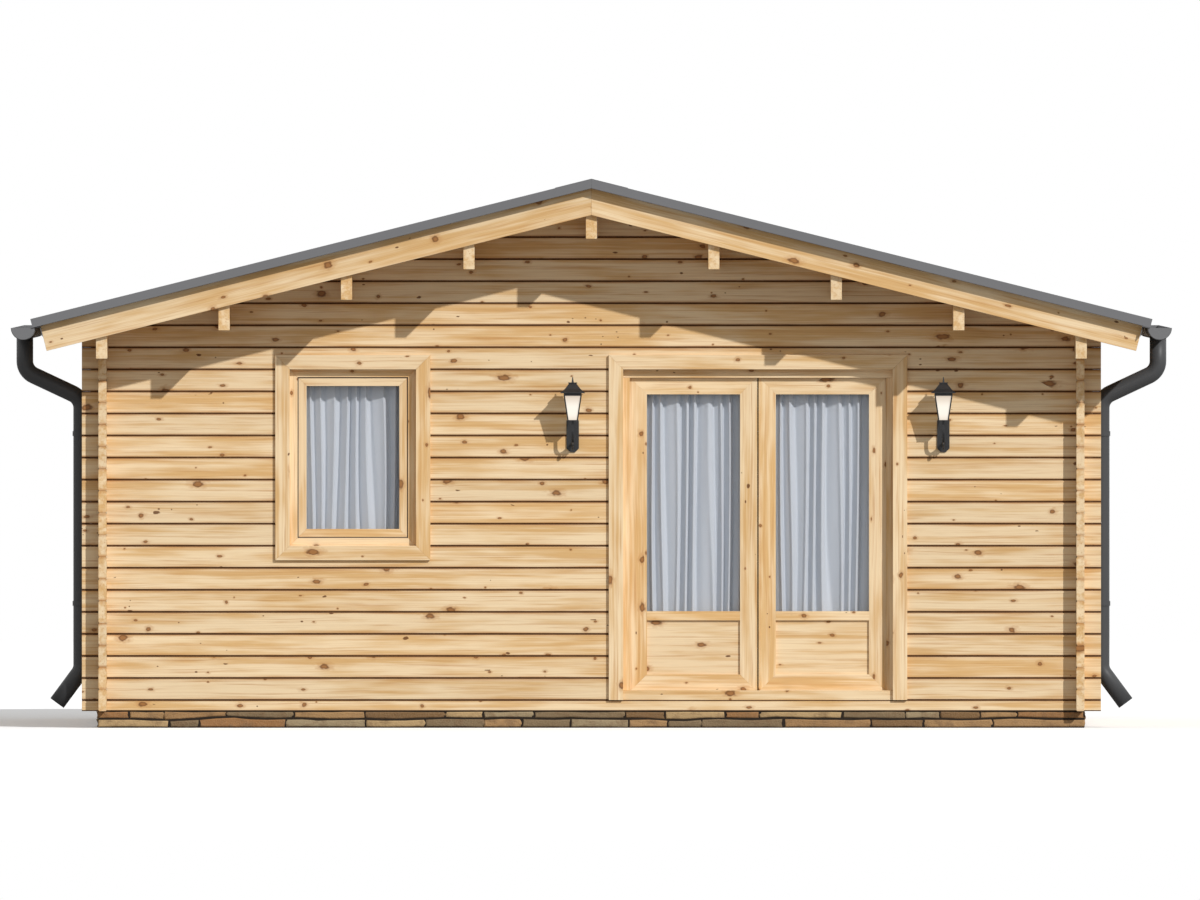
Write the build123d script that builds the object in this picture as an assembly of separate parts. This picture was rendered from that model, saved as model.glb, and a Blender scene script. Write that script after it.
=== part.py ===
from build123d import *
import os
from math import ceil, cos, radians, sin, tan

# Log cabin in millimetres: front wall towards -Y, ground at z = 0, origin under the middle of the roof.

# Clearances
seat_gap = 0.3
notch_play = 0.5
overrun = 20.0

# Plan and log walls
log_length_x = 5500.0
log_length_y = 4000.0
corner_projection = 90.0
log_thickness = 44.0
log_pitch = 119.0
log_chamfer = 5.0
log_joint = 0.4
side_rows = 16
lap_share = 0.25

# Stone plinth and floor
plinth_height = 90.0
plinth_thickness = 160.0
joist_width = 60.0
joist_count = 7
floor_thickness = 28.0

# Purlin roof
roof_angle = 14.0
roof_overhang = 500.0
bays_per_slope = 4
purlin_width = 60.0
purlin_depth = 252.0
eave_purlin_depth = 240.0
board_thickness = 19.0
barge_depth = 140.0
barge_thickness = 28.0
barge_reach = 307.0
fascia_thickness = 19.0
fascia_depth = 95.0

# Grey roof panels and ridge cap
panel_core = 30.0
panel_rib = 18.0
rib_top = 36.0
rib_foot = 72.0
rib_bays = 18
verge_rib = 90.0
verge_reach = 60.0
eave_reach = 43.0
cap_sheet = 2.0
cap_wing = 190.0

# Rainwater goods
gutter_radius = 62.5
gutter_wall = 3.0
gutter_drop = 1.5
gutter_inset = 12.0
gutter_from_eave = 51.0
gutter_lengths = 3
bracket_strap = 3.0
bracket_width = 28.0
bracket_leg = 60.0
bracket_count = 6
pipe_radius = 45.0
pipe_wall = 3.0
pipe_from_wall = 93.0
pipe_behind_wall = 110.0
neck_drop = 235.5
neck_fall = 144.0
shoe_top = 312.0
shoe_reach = 133.0
shoe_fall = 180.0
clip_height = 26.0
clip_band = 4.0
clip_stem = 22.0
clip_below_neck = 193.0
clip_above_shoe = 358.0

# Frames, trims and glazing shared by the window and the door
trim_width = 78.0
trim_thickness = 19.0
frame_depth = 70.0
frame_recess = 28.0
frame_lap = 12.0
settling_gap = 8.0
side_fit = 2.0
pane_thickness = 16.0
pane_lap = 12.0
corner_angle = 45.0

# Window
window_left_of_ridge = 1287.5
window_width = 681.0
window_sill_row = 7
window_member = 54.0
sash_member = 48.0
sash_thickness = 44.0
sash_recess = 6.0

# Double door
door_x = 899.0
door_width = 1455.0
door_member = 47.0
door_head_member = 58.0
threshold_height = 52.0
stop_thickness = 20.0
stop_gap = 6.0
stop_lap = 10.0
leaf_gap = 6.0
meeting_gap = 7.0
leaf_thickness = 44.0
stile_width = 93.0
top_rail = 89.0
middle_rail = 49.0
bottom_rail = 86.0
panel_height = 292.0

# Door hinges
hinge_count = 3
hinge_margin = 190.0
barrel_radius = 7.0
barrel_length = 46.0
hinge_pin_radius = 4.0
hinge_pin_play = 0.05
flap_width = 34.0
flap_thickness = 2.5

# Curtains and their rods
rod_radius = 6.0
rod_standoff = 30.0
rod_bracket = 14.0
rod_rise = 36.0
curtain_depth = 46.0
curtain_side_lap = 22.0
curtain_drop = 40.0

# Wall lanterns beside the door
lantern_from_door = 1000.0
lantern_below_head = 447.0
plate_width = 67.0
plate_thickness = 8.0
plate_height = 172.0
plate_chamfer = 20.0
arm_bar = 12.0
arm_start = 46.0
arm_bend = 70.0
lantern_reach = 118.0
cage_above_plate = 2.0
cage_height = 131.0
cage_foot = 58.0
cage_head = 97.0
cage_post = 7.0
cage_plate = 6.0
cage_ring = 14.0
lamp_glass = 3.0
cap_brim = 4.0
cap_width = 131.0
flare_rise = 18.0
cap_waist = 86.0
cap_rise = 30.0
cap_crown = 40.0
rim_width = 48.0
rim_height = 6.0
finial_foot = 12.0
finial_tip = 3.0
finial_height = 30.0

# Places that follow from the sizes above
half_x = log_length_x / 2
half_y = log_length_y / 2
wall_x = half_x - corner_projection
wall_y = half_y - corner_projection
mid_x = wall_x - log_thickness / 2
mid_y = wall_y - log_thickness / 2
inner_x = wall_x - log_thickness
inner_y = wall_y - log_thickness
front = -wall_y
wall_top = plinth_height + side_rows * log_pitch
sill_log_top = plinth_height + log_pitch / 2
lap = lap_share * log_pitch
floor_top = plinth_height + floor_thickness

slope_cos = cos(radians(roof_angle))
slope_sin = sin(radians(roof_angle))
slope_tan = tan(radians(roof_angle))
under_apex = wall_top + eave_purlin_depth + mid_x * slope_tan
deck_apex = under_apex + board_thickness / slope_cos
panel_height_total = panel_core + panel_rib
barge_end = (wall_x + barge_reach) / slope_cos
panel_end = barge_end + eave_reach
barge_front = wall_y + roof_overhang
purlin_end = barge_front - barge_thickness
verge = barge_front + verge_reach
slope = Plane(
    origin=(0, 0, deck_apex),
    x_dir=(slope_cos, 0, -slope_sin),
    z_dir=(slope_sin, 0, slope_cos),
)

head_z = sill_log_top + (side_rows - 1) * log_pitch
window_sill = sill_log_top + window_sill_row * log_pitch
window_x = -window_left_of_ridge
door_sill = sill_log_top
frame_front = front + frame_recess
frame_back = frame_front + frame_depth


def block(x0, x1, y0, y1, z0, z1):
    """A squared piece between two corners."""
    size = Box(abs(x1 - x0), abs(y1 - y0), abs(z1 - z0))
    return Pos((x0 + x1) / 2, (y0 + y1) / 2, (z0 + z1) / 2) * size


def both_sides(piece):
    """The piece on the right and its mirror image on the left."""
    return [piece, mirror(piece, about=Plane.YZ)]


def solids_of(*pieces):
    """Every solid of the pieces, in order."""
    return [solid for piece in pieces for solid in piece.solids()]


def row_bottom(row):
    """Height of the joint under a full log of the front and back walls."""
    return sill_log_top + row * log_pitch


def under_roof(x):
    """Height of the underside of the roof boards at a distance from the ridge."""
    return under_apex - abs(x) * slope_tan


# Log walls
def log_section(height):
    """A planed log's cross-section with its long edges chamfered, standing on its bottom edge."""
    outline = Rectangle(log_thickness, height - log_joint)
    return Pos(0, (height - log_joint) / 2) * chamfer(outline.vertices(), log_chamfer)


def log_along_x(y, z, height=log_pitch):
    place = Plane((-half_x, y, z), x_dir=(0, 1, 0), z_dir=(1, 0, 0))
    return extrude(place * log_section(height), log_length_x)


def log_along_y(x, z):
    place = Plane((x, half_y, z), x_dir=(1, 0, 0), z_dir=(0, -1, 0))
    return extrude(place * log_section(log_pitch), log_length_y)


def lap_bottom(z):
    return z - overrun, z + lap + log_joint / 2


def lap_top(z):
    return z - lap - log_joint / 2, z + overrun


def laps_x(y, heights, width):
    """Cross-lap notches that let the side walls through a log of the front or back wall."""
    reach = width / 2 + notch_play
    deep = log_thickness / 2 + overrun
    right = block(mid_x - reach, mid_x + reach, y - deep, y + deep, *heights)
    return both_sides(right)


def laps_y(x, heights, width):
    """Cross-lap notches that let the front and back walls through a log of a side wall."""
    reach = log_thickness / 2 + notch_play
    deep = width / 2 + overrun
    near = block(x - deep, x + deep, mid_y - reach, mid_y + reach, *heights)
    return [near, mirror(near, about=Plane.XZ)]


def sill_log(y):
    """The half log that starts the front or back wall."""
    log = log_along_x(y, plinth_height, log_pitch / 2)
    return log - laps_x(y, lap_top(sill_log_top), log_thickness)


def wall_row(y, row):
    """A full log of the front or back wall, notched for both side walls."""
    bottom = row_bottom(row)
    upper = purlin_width if row == side_rows - 1 else log_thickness
    notches = laps_x(y, lap_bottom(bottom), log_thickness)
    notches += laps_x(y, lap_top(bottom + log_pitch), upper)
    return log_along_x(y, bottom) - notches


def purlin_places():
    """Distances of the purlins of one slope from the ridge, without the eave purlin."""
    return [bay * mid_x / bays_per_slope for bay in range(1, bays_per_slope)]


def purlin_bottom(x):
    return under_roof(x) - purlin_depth


def purlin_pocket(x, bottom):
    reach = purlin_width / 2 + notch_play
    return block(x - reach, x + reach, -half_y, half_y, bottom - seat_gap, deck_apex)


def gable_rows(y):
    """Logs over the side walls, cut to the roof and housed around the purlins."""
    far = half_x + overrun
    low = under_roof(far)
    high = 2 * deck_apex
    points = [(-far, low), (0, under_apex), (far, low), (far, high), (-far, high)]
    above = make_face(Polyline(*points, close=True))
    roof = extrude(Plane.XZ * Pos(0, -seat_gap) * above, half_y, both=True)
    cuts = [roof, purlin_pocket(0, purlin_bottom(0))]
    for x in purlin_places():
        cuts += both_sides(purlin_pocket(x, purlin_bottom(x)))
    cuts += both_sides(purlin_pocket(mid_x, wall_top + lap))
    rows = ceil((under_roof(purlin_width / 2) - row_bottom(side_rows)) / log_pitch)
    return solids_of(*[log_along_x(y, row_bottom(side_rows + row)) - cuts for row in range(rows)])


def rough_opening(x, width, bottom):
    """The hole through the front wall for a frame, with room for the logs to settle above it."""
    reach = width / 2 + frame_lap + side_fit
    top = head_z + frame_lap + settling_gap
    return block(x - reach, x + reach, front - overrun, -inner_y + overrun, bottom, top)


def front_wall():
    """The front logs, sorted by the opening that they stand beside."""
    window = rough_opening(window_x, window_width, window_sill - frame_lap - seat_gap)
    door = rough_opening(door_x, door_width, door_sill)
    nodes = {name: [] for name in ("left", "under_window", "middle", "right", "over_openings")}
    for row in range(side_rows):
        for piece in solids_of(wall_row(-mid_y, row) - [window, door]):
            box = piece.bounding_box()
            if box.max.X < window_x:
                nodes["left"].append(piece)
            elif box.min.X > door_x:
                nodes["right"].append(piece)
            elif box.max.X > door_x:
                nodes["over_openings"].append(piece)
            elif box.min.X < window_x:
                nodes["under_window"].append(piece)
            else:
                nodes["middle"].append(piece)
    return nodes


def side_wall(x):
    logs = []
    for row in range(side_rows):
        bottom = plinth_height + row * log_pitch
        notches = laps_y(x, lap_bottom(bottom), log_thickness)
        notches += laps_y(x, lap_top(bottom + log_pitch), log_thickness)
        logs.append(log_along_y(x, bottom) - notches)
    return solids_of(*logs)


# Plinth and floor
def stone_plinth():
    """Front and back plinth walls between the log faces, and side walls that fit between them."""
    long_wall = block(-wall_x, wall_x, -wall_y, plinth_thickness - wall_y, 0, plinth_height - seat_gap)
    reach = wall_y - plinth_thickness - seat_gap
    side = block(wall_x - plinth_thickness, wall_x, -reach, reach, 0, plinth_height - seat_gap)
    return solids_of(long_wall, mirror(long_wall, about=Plane.XZ), *both_sides(side))


def floor_joists():
    reach = wall_y - plinth_thickness - seat_gap
    room = wall_x - plinth_thickness - joist_width
    step = 2 * room / (joist_count - 1)
    joist = block(-joist_width / 2, joist_width / 2, -reach, reach, 0, plinth_height - seat_gap)
    return solids_of(*[Pos(index * step - room, 0, 0) * joist for index in range(joist_count)])


def floor_boards():
    x = inner_x - seat_gap
    y = inner_y - seat_gap
    return solids_of(block(-x, x, -y, y, plinth_height, floor_top))


# Roof
def ridge_purlin():
    half = purlin_width / 2
    low = purlin_bottom(0)
    points = [(-half, low), (half, low), (half, under_roof(half)), (0, under_apex), (-half, under_roof(half))]
    outline = make_face(Polyline(*points, close=True))
    return solids_of(extrude(Plane.XZ * Pos(0, -seat_gap) * outline, purlin_end - seat_gap, both=True))


def sloped_purlin(x, low):
    """A purlin standing upright, its top planed to the roof."""
    inside, outside = x - purlin_width / 2, x + purlin_width / 2
    top_in, top_out = under_roof(inside) - seat_gap, under_roof(outside) - seat_gap
    points = [(inside, low), (outside, low), (outside, top_out), (inside, top_in)]
    outline = make_face(Polyline(*points, close=True))
    return extrude(Plane.XZ * outline, purlin_end - seat_gap, both=True)


def right_purlins():
    eave = sloped_purlin(mid_x, wall_top) - laps_y(mid_x, lap_bottom(wall_top), purlin_width)
    return solids_of(*[sloped_purlin(x, purlin_bottom(x)) for x in purlin_places()], eave)


def slope_slab(end, y_reach, low, high):
    """A slab lying on the right slope, cut plumb at the ridge."""
    slab = slope * block(-overrun, end, -y_reach, y_reach, low, high)
    left = block(-half_x, seat_gap / 2, -2 * half_y, 2 * half_y, 0, 2 * deck_apex)
    return slab - left


def right_roof_boards():
    end = barge_end - fascia_thickness - seat_gap
    return solids_of(slope_slab(end, purlin_end - seat_gap, -board_thickness, -seat_gap))


def barge_boards(y0, y1):
    board = slope * block(-overrun, barge_end, y0, y1, -barge_depth, -seat_gap)
    board -= block(-half_x, seat_gap / 2, y0 - overrun, y1 + overrun, 0, 2 * deck_apex)
    return solids_of(*both_sides(board))


def eave_fascias():
    reach = purlin_end - seat_gap
    board = block(barge_end - fascia_thickness, barge_end, -reach, reach, -fascia_depth, -seat_gap)
    return solids_of(*both_sides(slope * board))


def right_roof_panel():
    """A stiff panel with ribs running down the slope and a raised rib along each verge."""
    step = 2 * (verge - verge_rib / 2) / rib_bays
    core = slope_slab(panel_end, verge, 0, panel_core)
    shape = [(-rib_foot / 2, 0), (rib_foot / 2, 0), (rib_top / 2, panel_rib), (-rib_top / 2, panel_rib)]
    rib = Plane.YZ * Pos(0, panel_core) * make_face(Polyline(*shape, close=True))
    ribs = []
    for index in range(1, rib_bays):
        y = index * step - verge + verge_rib / 2
        ribs.append(slope * Pos(-overrun, y, 0) * extrude(rib, panel_end + overrun))
    edge = block(-overrun, panel_end, verge - verge_rib, verge, panel_core, panel_height_total)
    ribs += [slope * edge, mirror(slope * edge, about=Plane.XZ)]
    left = block(-half_x, seat_gap / 2, -2 * half_y, 2 * half_y, 0, 2 * deck_apex)
    return solids_of(core + ribs - left)


def ridge_cap():
    """A folded sheet over the ridge, its wings resting on the ribs."""
    low = panel_height_total + seat_gap
    wing = slope * block(-overrun, cap_wing, -verge, verge, low, low + cap_sheet)
    wing -= block(-half_x, 0, -2 * half_y, 2 * half_y, 0, 2 * deck_apex)
    return solids_of(wing + mirror(wing, about=Plane.YZ))


# Rainwater goods
eave_x = panel_end * slope_cos
eave_z = deck_apex - panel_end * slope_sin
gutter_x = eave_x + gutter_from_eave
gutter_z = eave_z - gutter_drop
gutter_reach = verge - gutter_inset
pipe_y = -inner_y + pipe_behind_wall
pipe_x = wall_x + pipe_from_wall
neck_top = gutter_z - neck_drop
neck_foot = neck_top - neck_fall


def half_ring(outer, inner):
    """Lower half of a ring around the gutter's axis, in the XZ plane."""
    ring = Circle(outer) - Circle(inner) if inner else Circle(outer)
    return Pos(gutter_x, gutter_z) * (ring & Pos(0, -outer / 2) * Rectangle(2 * outer, outer))


def right_gutter():
    """Lengths of half-round gutter with closed ends and a round outlet over the downpipe."""
    body = extrude(Plane.XZ * half_ring(gutter_radius, gutter_radius - gutter_wall), gutter_reach, both=True)
    end = extrude(Plane.XZ * half_ring(gutter_radius, 0), gutter_wall)
    ends = [Pos(0, gutter_wall - gutter_reach, 0) * end, Pos(0, gutter_reach, 0) * end]
    bore = Cylinder(pipe_radius - pipe_wall, gutter_radius)
    trough = body + ends - Pos(gutter_x, pipe_y, gutter_z - gutter_radius) * bore
    saw = Box(2 * gutter_radius, seat_gap, 2 * gutter_radius)
    step = 2 * gutter_reach / gutter_lengths
    joints = [index * step - gutter_reach for index in range(1, gutter_lengths)]
    return solids_of(trough - [Pos(gutter_x, y, gutter_z) * saw for y in joints])


def right_gutter_brackets():
    """Straps hooked under the gutter and screwed to the eave fascia."""
    half = bracket_width / 2
    low = -gutter_drop - bracket_strap
    near = barge_end + seat_gap
    start = (gutter_x - gutter_radius) / slope_cos
    inner = gutter_radius + seat_gap
    hoop = extrude(Plane.XZ * half_ring(inner + bracket_strap, inner), half, both=True)
    arm = slope * block(near, start, -half, half, low - bracket_strap, low)
    leg = slope * block(near, near + bracket_strap, -half, half, -bracket_leg, low)
    trough = extrude(Plane.XZ * Pos(gutter_x, gutter_z) * Circle(inner), bracket_width, both=True)
    bracket = hoop + (arm + leg - trough)
    reach = gutter_reach - bracket_width
    step = 2 * reach / (bracket_count - 1)
    return solids_of(*[Pos(0, index * step - reach, 0) * bracket for index in range(bracket_count)])


def right_downpipe():
    """A round pipe from the gutter outlet through a swan neck down to a kicked-out shoe."""
    points = [(gutter_x, gutter_z - gutter_radius / 2), (gutter_x, neck_top), (pipe_x, neck_foot)]
    points += [(pipe_x, shoe_top), (pipe_x + shoe_reach, shoe_top - shoe_fall)]
    path = Polyline(*[(x, pipe_y, z) for x, z in points])
    section = Circle(pipe_radius) - Circle(pipe_radius - pipe_wall)
    place = Plane((points[0][0], pipe_y, points[0][1]), z_dir=(0, 0, -1))
    pipe = sweep(place * section, path, transition=Transition.RIGHT)
    saddle = Rot(90, 0, 0) * Cylinder(gutter_radius + seat_gap, 2 * gutter_radius)
    return solids_of(pipe - Pos(gutter_x, pipe_y, gutter_z) * saddle)


def right_pipe_clips():
    """Bands round the downpipe on stems from the side wall."""
    inner = pipe_radius + seat_gap
    half = clip_height / 2
    stem = block(wall_x + seat_gap - pipe_x, 0, -clip_stem / 2, clip_stem / 2, -half, half)
    clip = Cylinder(inner + clip_band, clip_height) + stem - Cylinder(inner, 2 * clip_height)
    heights = (shoe_top + clip_above_shoe, neck_foot - clip_below_neck)
    return solids_of(*[Pos(pipe_x, pipe_y, z) * clip for z in heights])


# Window and door joinery
def mitred(ring, x0, x1, z0, z1, inset):
    """Saws a rectangular frame along its four corner mitres."""
    reach = 2 * inset / cos(radians(corner_angle))
    saw = Box(reach + overrun, half_y, seat_gap)
    cuts = []
    for x, z, turn in ((x0, z0, -1), (x1, z0, 1), (x0, z1, 1), (x1, z1, -1)):
        cuts.append(Pos(x, front, z) * Rot(0, turn * corner_angle, 0) * saw)
    return ring - cuts


def ring_frame(x0, x1, z0, z1, member, y0, y1):
    """A rectangular frame of one member width between two depths."""
    outer = block(x0, x1, y0, y1, z0, z1)
    hole = block(x0 + member, x1 - member, y0 - overrun, y1 + overrun, z0 + member, z1 - member)
    return outer - hole


def reveal(x, width, bottom):
    """The recess in front of a frame, as wide as the trim around it."""
    half = width / 2
    return block(x - half, x + half, front - overrun, frame_front, bottom, head_z)


def window_trim():
    half = window_width / 2 + trim_width
    x0, x1 = window_x - half, window_x + half
    z0, z1 = window_sill - trim_width, head_z + trim_width
    ring = ring_frame(x0, x1, z0, z1, trim_width, front - trim_thickness - seat_gap, front - seat_gap)
    return solids_of(mitred(ring, x0, x1, z0, z1, trim_width))


window_half = window_width / 2 + frame_lap
window_low = window_sill - frame_lap
window_high = head_z + frame_lap
sash_half = window_half - window_member - seat_gap
sash_low = window_low + window_member + seat_gap
sash_high = window_high - window_member - seat_gap
sash_front = frame_front + sash_recess


def window_frame():
    """Four mitred members with a lip that lines the wall behind the trim."""
    x0, x1 = window_x - window_half, window_x + window_half
    ring = ring_frame(x0, x1, window_low, window_high, window_member, front, frame_back)
    ring -= reveal(window_x, window_width, window_sill)
    return solids_of(mitred(ring, x0, x1, window_low, window_high, window_member))


def pane(x0, x1, z0, z1, y, play):
    """A sealed pane, or the groove that holds it, from the sight edges of its frame."""
    reach = pane_lap + play
    half = pane_thickness / 2 + play
    return block(x0 - reach, x1 + reach, y - half, y + half, z0 - reach, z1 + reach)


def window_sight():
    inset = sash_member
    return (window_x - sash_half + inset, window_x + sash_half - inset, sash_low + inset, sash_high - inset)


def window_sash():
    x0, x1 = window_x - sash_half, window_x + sash_half
    ring = ring_frame(x0, x1, sash_low, sash_high, sash_member, sash_front, sash_front + sash_thickness)
    ring -= pane(*window_sight(), sash_front + sash_thickness / 2, seat_gap)
    return solids_of(mitred(ring, x0, x1, sash_low, sash_high, sash_member))


def window_glass():
    return solids_of(pane(*window_sight(), sash_front + sash_thickness / 2, 0))


door_half = door_width / 2 + frame_lap
door_high = head_z + frame_lap
clear_half = door_half - door_member
clear_low = door_sill + threshold_height
clear_high = door_high - door_head_member
stop_back = frame_front + stop_thickness
leaf_front = stop_back + stop_gap
leaf_back = leaf_front + leaf_thickness
rebate = stop_lap + leaf_gap
leaf_low = clear_low - stop_lap
leaf_high = clear_high + stop_lap
hinge_x = clear_half + stop_lap + leaf_gap / 2
hinge_y = leaf_back + seat_gap + barrel_radius
mid_rail_low = clear_low + bottom_rail + panel_height


def door_trim():
    half = door_width / 2 + trim_width
    x0, x1 = door_x - half, door_x + half
    top = head_z + trim_width
    y0, y1 = front - trim_thickness - seat_gap, front - seat_gap
    ring = ring_frame(x0, x1, door_sill - trim_width, top, trim_width, y0, y1)
    ring -= block(x0 - overrun, x1 + overrun, y0 - overrun, y1, 0, door_sill)
    return solids_of(mitred(ring, x0, x1, -top, top, trim_width))


def door_frame():
    """Jambs between a head and a threshold, all rebated for leaves that open inwards."""
    low, back = door_sill + seat_gap, frame_back + overrun
    frame = block(door_x - door_half, door_x + door_half, front, frame_back, low, door_high)
    frame -= reveal(door_x, door_width, clear_low)
    x0, x1 = door_x - clear_half, door_x + clear_half
    frame -= block(x0, x1, front - overrun, back, clear_low, clear_high)
    frame -= block(x0 - rebate, x1 + rebate, stop_back, back, clear_low - rebate, clear_high + rebate)
    far = door_half + overrun
    saw = block(door_x - far, door_x + far, front - overrun, back, 0, seat_gap)
    return solids_of(frame - [Pos(0, 0, z) * saw for z in (clear_low, clear_high - seat_gap)])


def leaf_sight():
    """Sight edges of the right leaf's glass and panel, measured from the door's centre."""
    x0 = meeting_gap / 2 + stile_width
    x1 = clear_half - stile_width
    glass = (x0, x1, mid_rail_low + middle_rail, clear_high - top_rail)
    return glass, (x0, x1, clear_low + bottom_rail, mid_rail_low)


def right_leaf():
    """Mitred stiles and rails around a pane and a flush panel, with a rail between them."""
    glass, panel = leaf_sight()
    x0, x1 = meeting_gap / 2, clear_half + stop_lap
    y0, y1 = leaf_front - overrun, leaf_back + overrun
    centre = leaf_front + leaf_thickness / 2
    leaf = block(x0, x1, leaf_front, leaf_back, leaf_low, leaf_high)
    for sx0, sx1, sz0, sz1 in (glass, panel):
        leaf -= block(sx0, sx1, y0, y1, sz0, sz1)
        leaf -= pane(sx0, sx1, sz0, sz1, centre, seat_gap)
    rail_saw = block(0, seat_gap, y0, y1, panel[3] - pane_lap, glass[2] + pane_lap)
    leaf -= [Pos(x, 0, 0) * rail_saw for x in (glass[0] - seat_gap, glass[1])]
    saw = Box(2 * stile_width, half_y, seat_gap)
    half = stile_width / 2
    for x in (glass[0] - half, glass[1] + half):
        for z in (panel[2] - half, glass[3] + half):
            outwards = (x > glass[1]) == (z < panel[2])
            leaf -= Pos(x, front, z) * Rot(0, corner_angle if outwards else -corner_angle, 0) * saw
    return solids_of(leaf, pane(*panel, centre, 0))


def right_pane():
    glass, panel = leaf_sight()
    return solids_of(pane(*glass, leaf_front + leaf_thickness / 2, 0))


def hinge_heights():
    room = leaf_high - leaf_low - 2 * hinge_margin
    return [leaf_low + hinge_margin + index * room / (hinge_count - 1) for index in range(hinge_count)]


def hinge_flap(side, z0, z1):
    x1 = hinge_x + side * flap_width
    return block(hinge_x, x1, leaf_back + seat_gap, leaf_back + seat_gap + flap_thickness, z0, z1)


def right_frame_hinges():
    """Lower hinge halves on the jamb, each with its pin standing up."""
    halves = []
    for z in hinge_heights():
        barrel = Pos(hinge_x, hinge_y, z - barrel_length / 2) * Cylinder(barrel_radius, barrel_length)
        pin = Pos(hinge_x, hinge_y, z + barrel_length / 2) * Cylinder(hinge_pin_radius, barrel_length)
        halves.append(barrel + pin + hinge_flap(1, z - barrel_length, z))
    return solids_of(*halves)


def right_leaf_hinges():
    """Upper hinge halves on the leaf, bored to turn on the pins."""
    halves = []
    for z in hinge_heights():
        low = z + seat_gap
        place = Pos(hinge_x, hinge_y, low + barrel_length / 2)
        bore = Cylinder(hinge_pin_radius + hinge_pin_play, 2 * barrel_length)
        flap = hinge_flap(-1, low, low + barrel_length)
        halves.append(place * Cylinder(barrel_radius, barrel_length) + flap - place * bore)
    return solids_of(*halves)


def rod_with_brackets(x0, x1, y, z, face):
    """A curtain rod standing off the plane y on a bracket at each end, fixed to a face."""
    centre = y + rod_standoff
    rod = Pos((x0 + x1) / 2, centre, z) * Rot(0, 90, 0) * Cylinder(rod_radius, x1 - x0)
    half = rod_bracket / 2
    arm = block(-half, half, face + seat_gap, centre, z - half, z + half)
    return solids_of(rod + [Pos(x, 0, 0) * arm for x in (x0 + half, x1 - half)])


def curtain(x0, x1, y, low, rod_z):
    """The hanging space of a gathered curtain under its rod."""
    centre = y + rod_standoff
    high = rod_z - rod_radius - seat_gap
    return solids_of(block(x0, x1, centre - curtain_depth / 2, centre + curtain_depth / 2, low, high))


rod_inset = rod_bracket + curtain_side_lap + seat_gap
leaf_rod_z = leaf_high - top_rail / 2
window_rod_z = window_high + settling_gap + rod_rise
window_rod_y = frame_back


def right_door_rod():
    glass, panel = leaf_sight()
    x0, x1 = glass[0] - rod_inset, glass[1] + rod_inset
    return rod_with_brackets(x0, x1, leaf_back, leaf_rod_z, leaf_back)


def right_door_curtain():
    glass, panel = leaf_sight()
    low = glass[2] - curtain_drop
    return curtain(glass[0] - curtain_side_lap, glass[1] + curtain_side_lap, leaf_back, low, leaf_rod_z)


def window_curtain_rod():
    """The rod stands off the frame's inner face on brackets that reach back to the wall."""
    x0, x1 = window_x - window_half - rod_inset, window_x + window_half + rod_inset
    return rod_with_brackets(x0, x1, window_rod_y, window_rod_z, -inner_y)


def window_curtain():
    low = window_low - curtain_drop
    x0, x1 = window_x - window_half, window_x + window_half
    return curtain(x0, x1, window_rod_y, low, window_rod_z)


def on_door(pieces, side):
    """Places pieces drawn for the right leaf about the door's centre, or their mirror images."""
    handed = pieces if side > 0 else mirrored(pieces)
    return solids_of(*[Pos(door_x, 0, 0) * piece for piece in handed])


# Wall lanterns
def wedge(low_width, high_width, z0, z1):
    """A long bar across the lantern's axis that tapers upwards or downwards."""
    points = [(-low_width / 2, z0), (low_width / 2, z0), (high_width / 2, z1), (-high_width / 2, z1)]
    return extrude(Plane.XZ * make_face(Polyline(*points, close=True)), cap_width, both=True)


def frustum(low_width, high_width, z0, z1):
    """A square tapering block about the lantern's axis."""
    bar = wedge(low_width, high_width, z0, z1)
    return bar & Rot(0, 0, 90) * bar


def square(width, z0, z1):
    """A square block about the lantern's axis."""
    return block(-width / 2, width / 2, -width / 2, width / 2, z0, z1)


plate_bottom = head_z - lantern_below_head
cage_bottom = plate_bottom + plate_height + cage_above_plate
cage_top = cage_bottom + cage_height
brim_z = cage_top + cage_ring
flare_z = brim_z + cap_brim
waist_z = flare_z + flare_rise
crown_z = waist_z + cap_rise
rim_z = crown_z + rim_height
lantern_y = front - lantern_reach


def lantern_glass():
    """A tapered glass box inside the cage's posts, open at both ends."""
    inset = 2 * cage_post
    low, high = cage_bottom + seat_gap, cage_top - seat_gap
    outer = frustum(cage_foot - inset, cage_head - inset, low, high)
    inset += 2 * lamp_glass
    return outer - frustum(cage_foot - inset, cage_head - inset, low, high)


def lantern_head():
    """Four sloping posts between two plates, under a flared cap with a rim and a pointed finial."""
    foot, head = cage_foot - 2 * cage_post, cage_head - 2 * cage_post
    hollow = frustum(foot + 2 * seat_gap, head + 2 * seat_gap, cage_bottom, cage_top)
    light = wedge(foot, head, cage_bottom, cage_top)
    posts = frustum(cage_foot, cage_head, cage_bottom, cage_top) - [hollow, light, Rot(0, 0, 90) * light]
    return posts + [
        square(cage_foot, cage_bottom - cage_plate, cage_bottom),
        square(cage_head, cage_top, brim_z),
        square(cap_width, brim_z, flare_z),
        frustum(cap_width, cap_waist, flare_z, waist_z),
        frustum(cap_waist, cap_crown, waist_z, crown_z),
        square(rim_width, crown_z, rim_z),
        frustum(finial_foot, finial_tip, rim_z, rim_z + finial_height),
    ]


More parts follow.
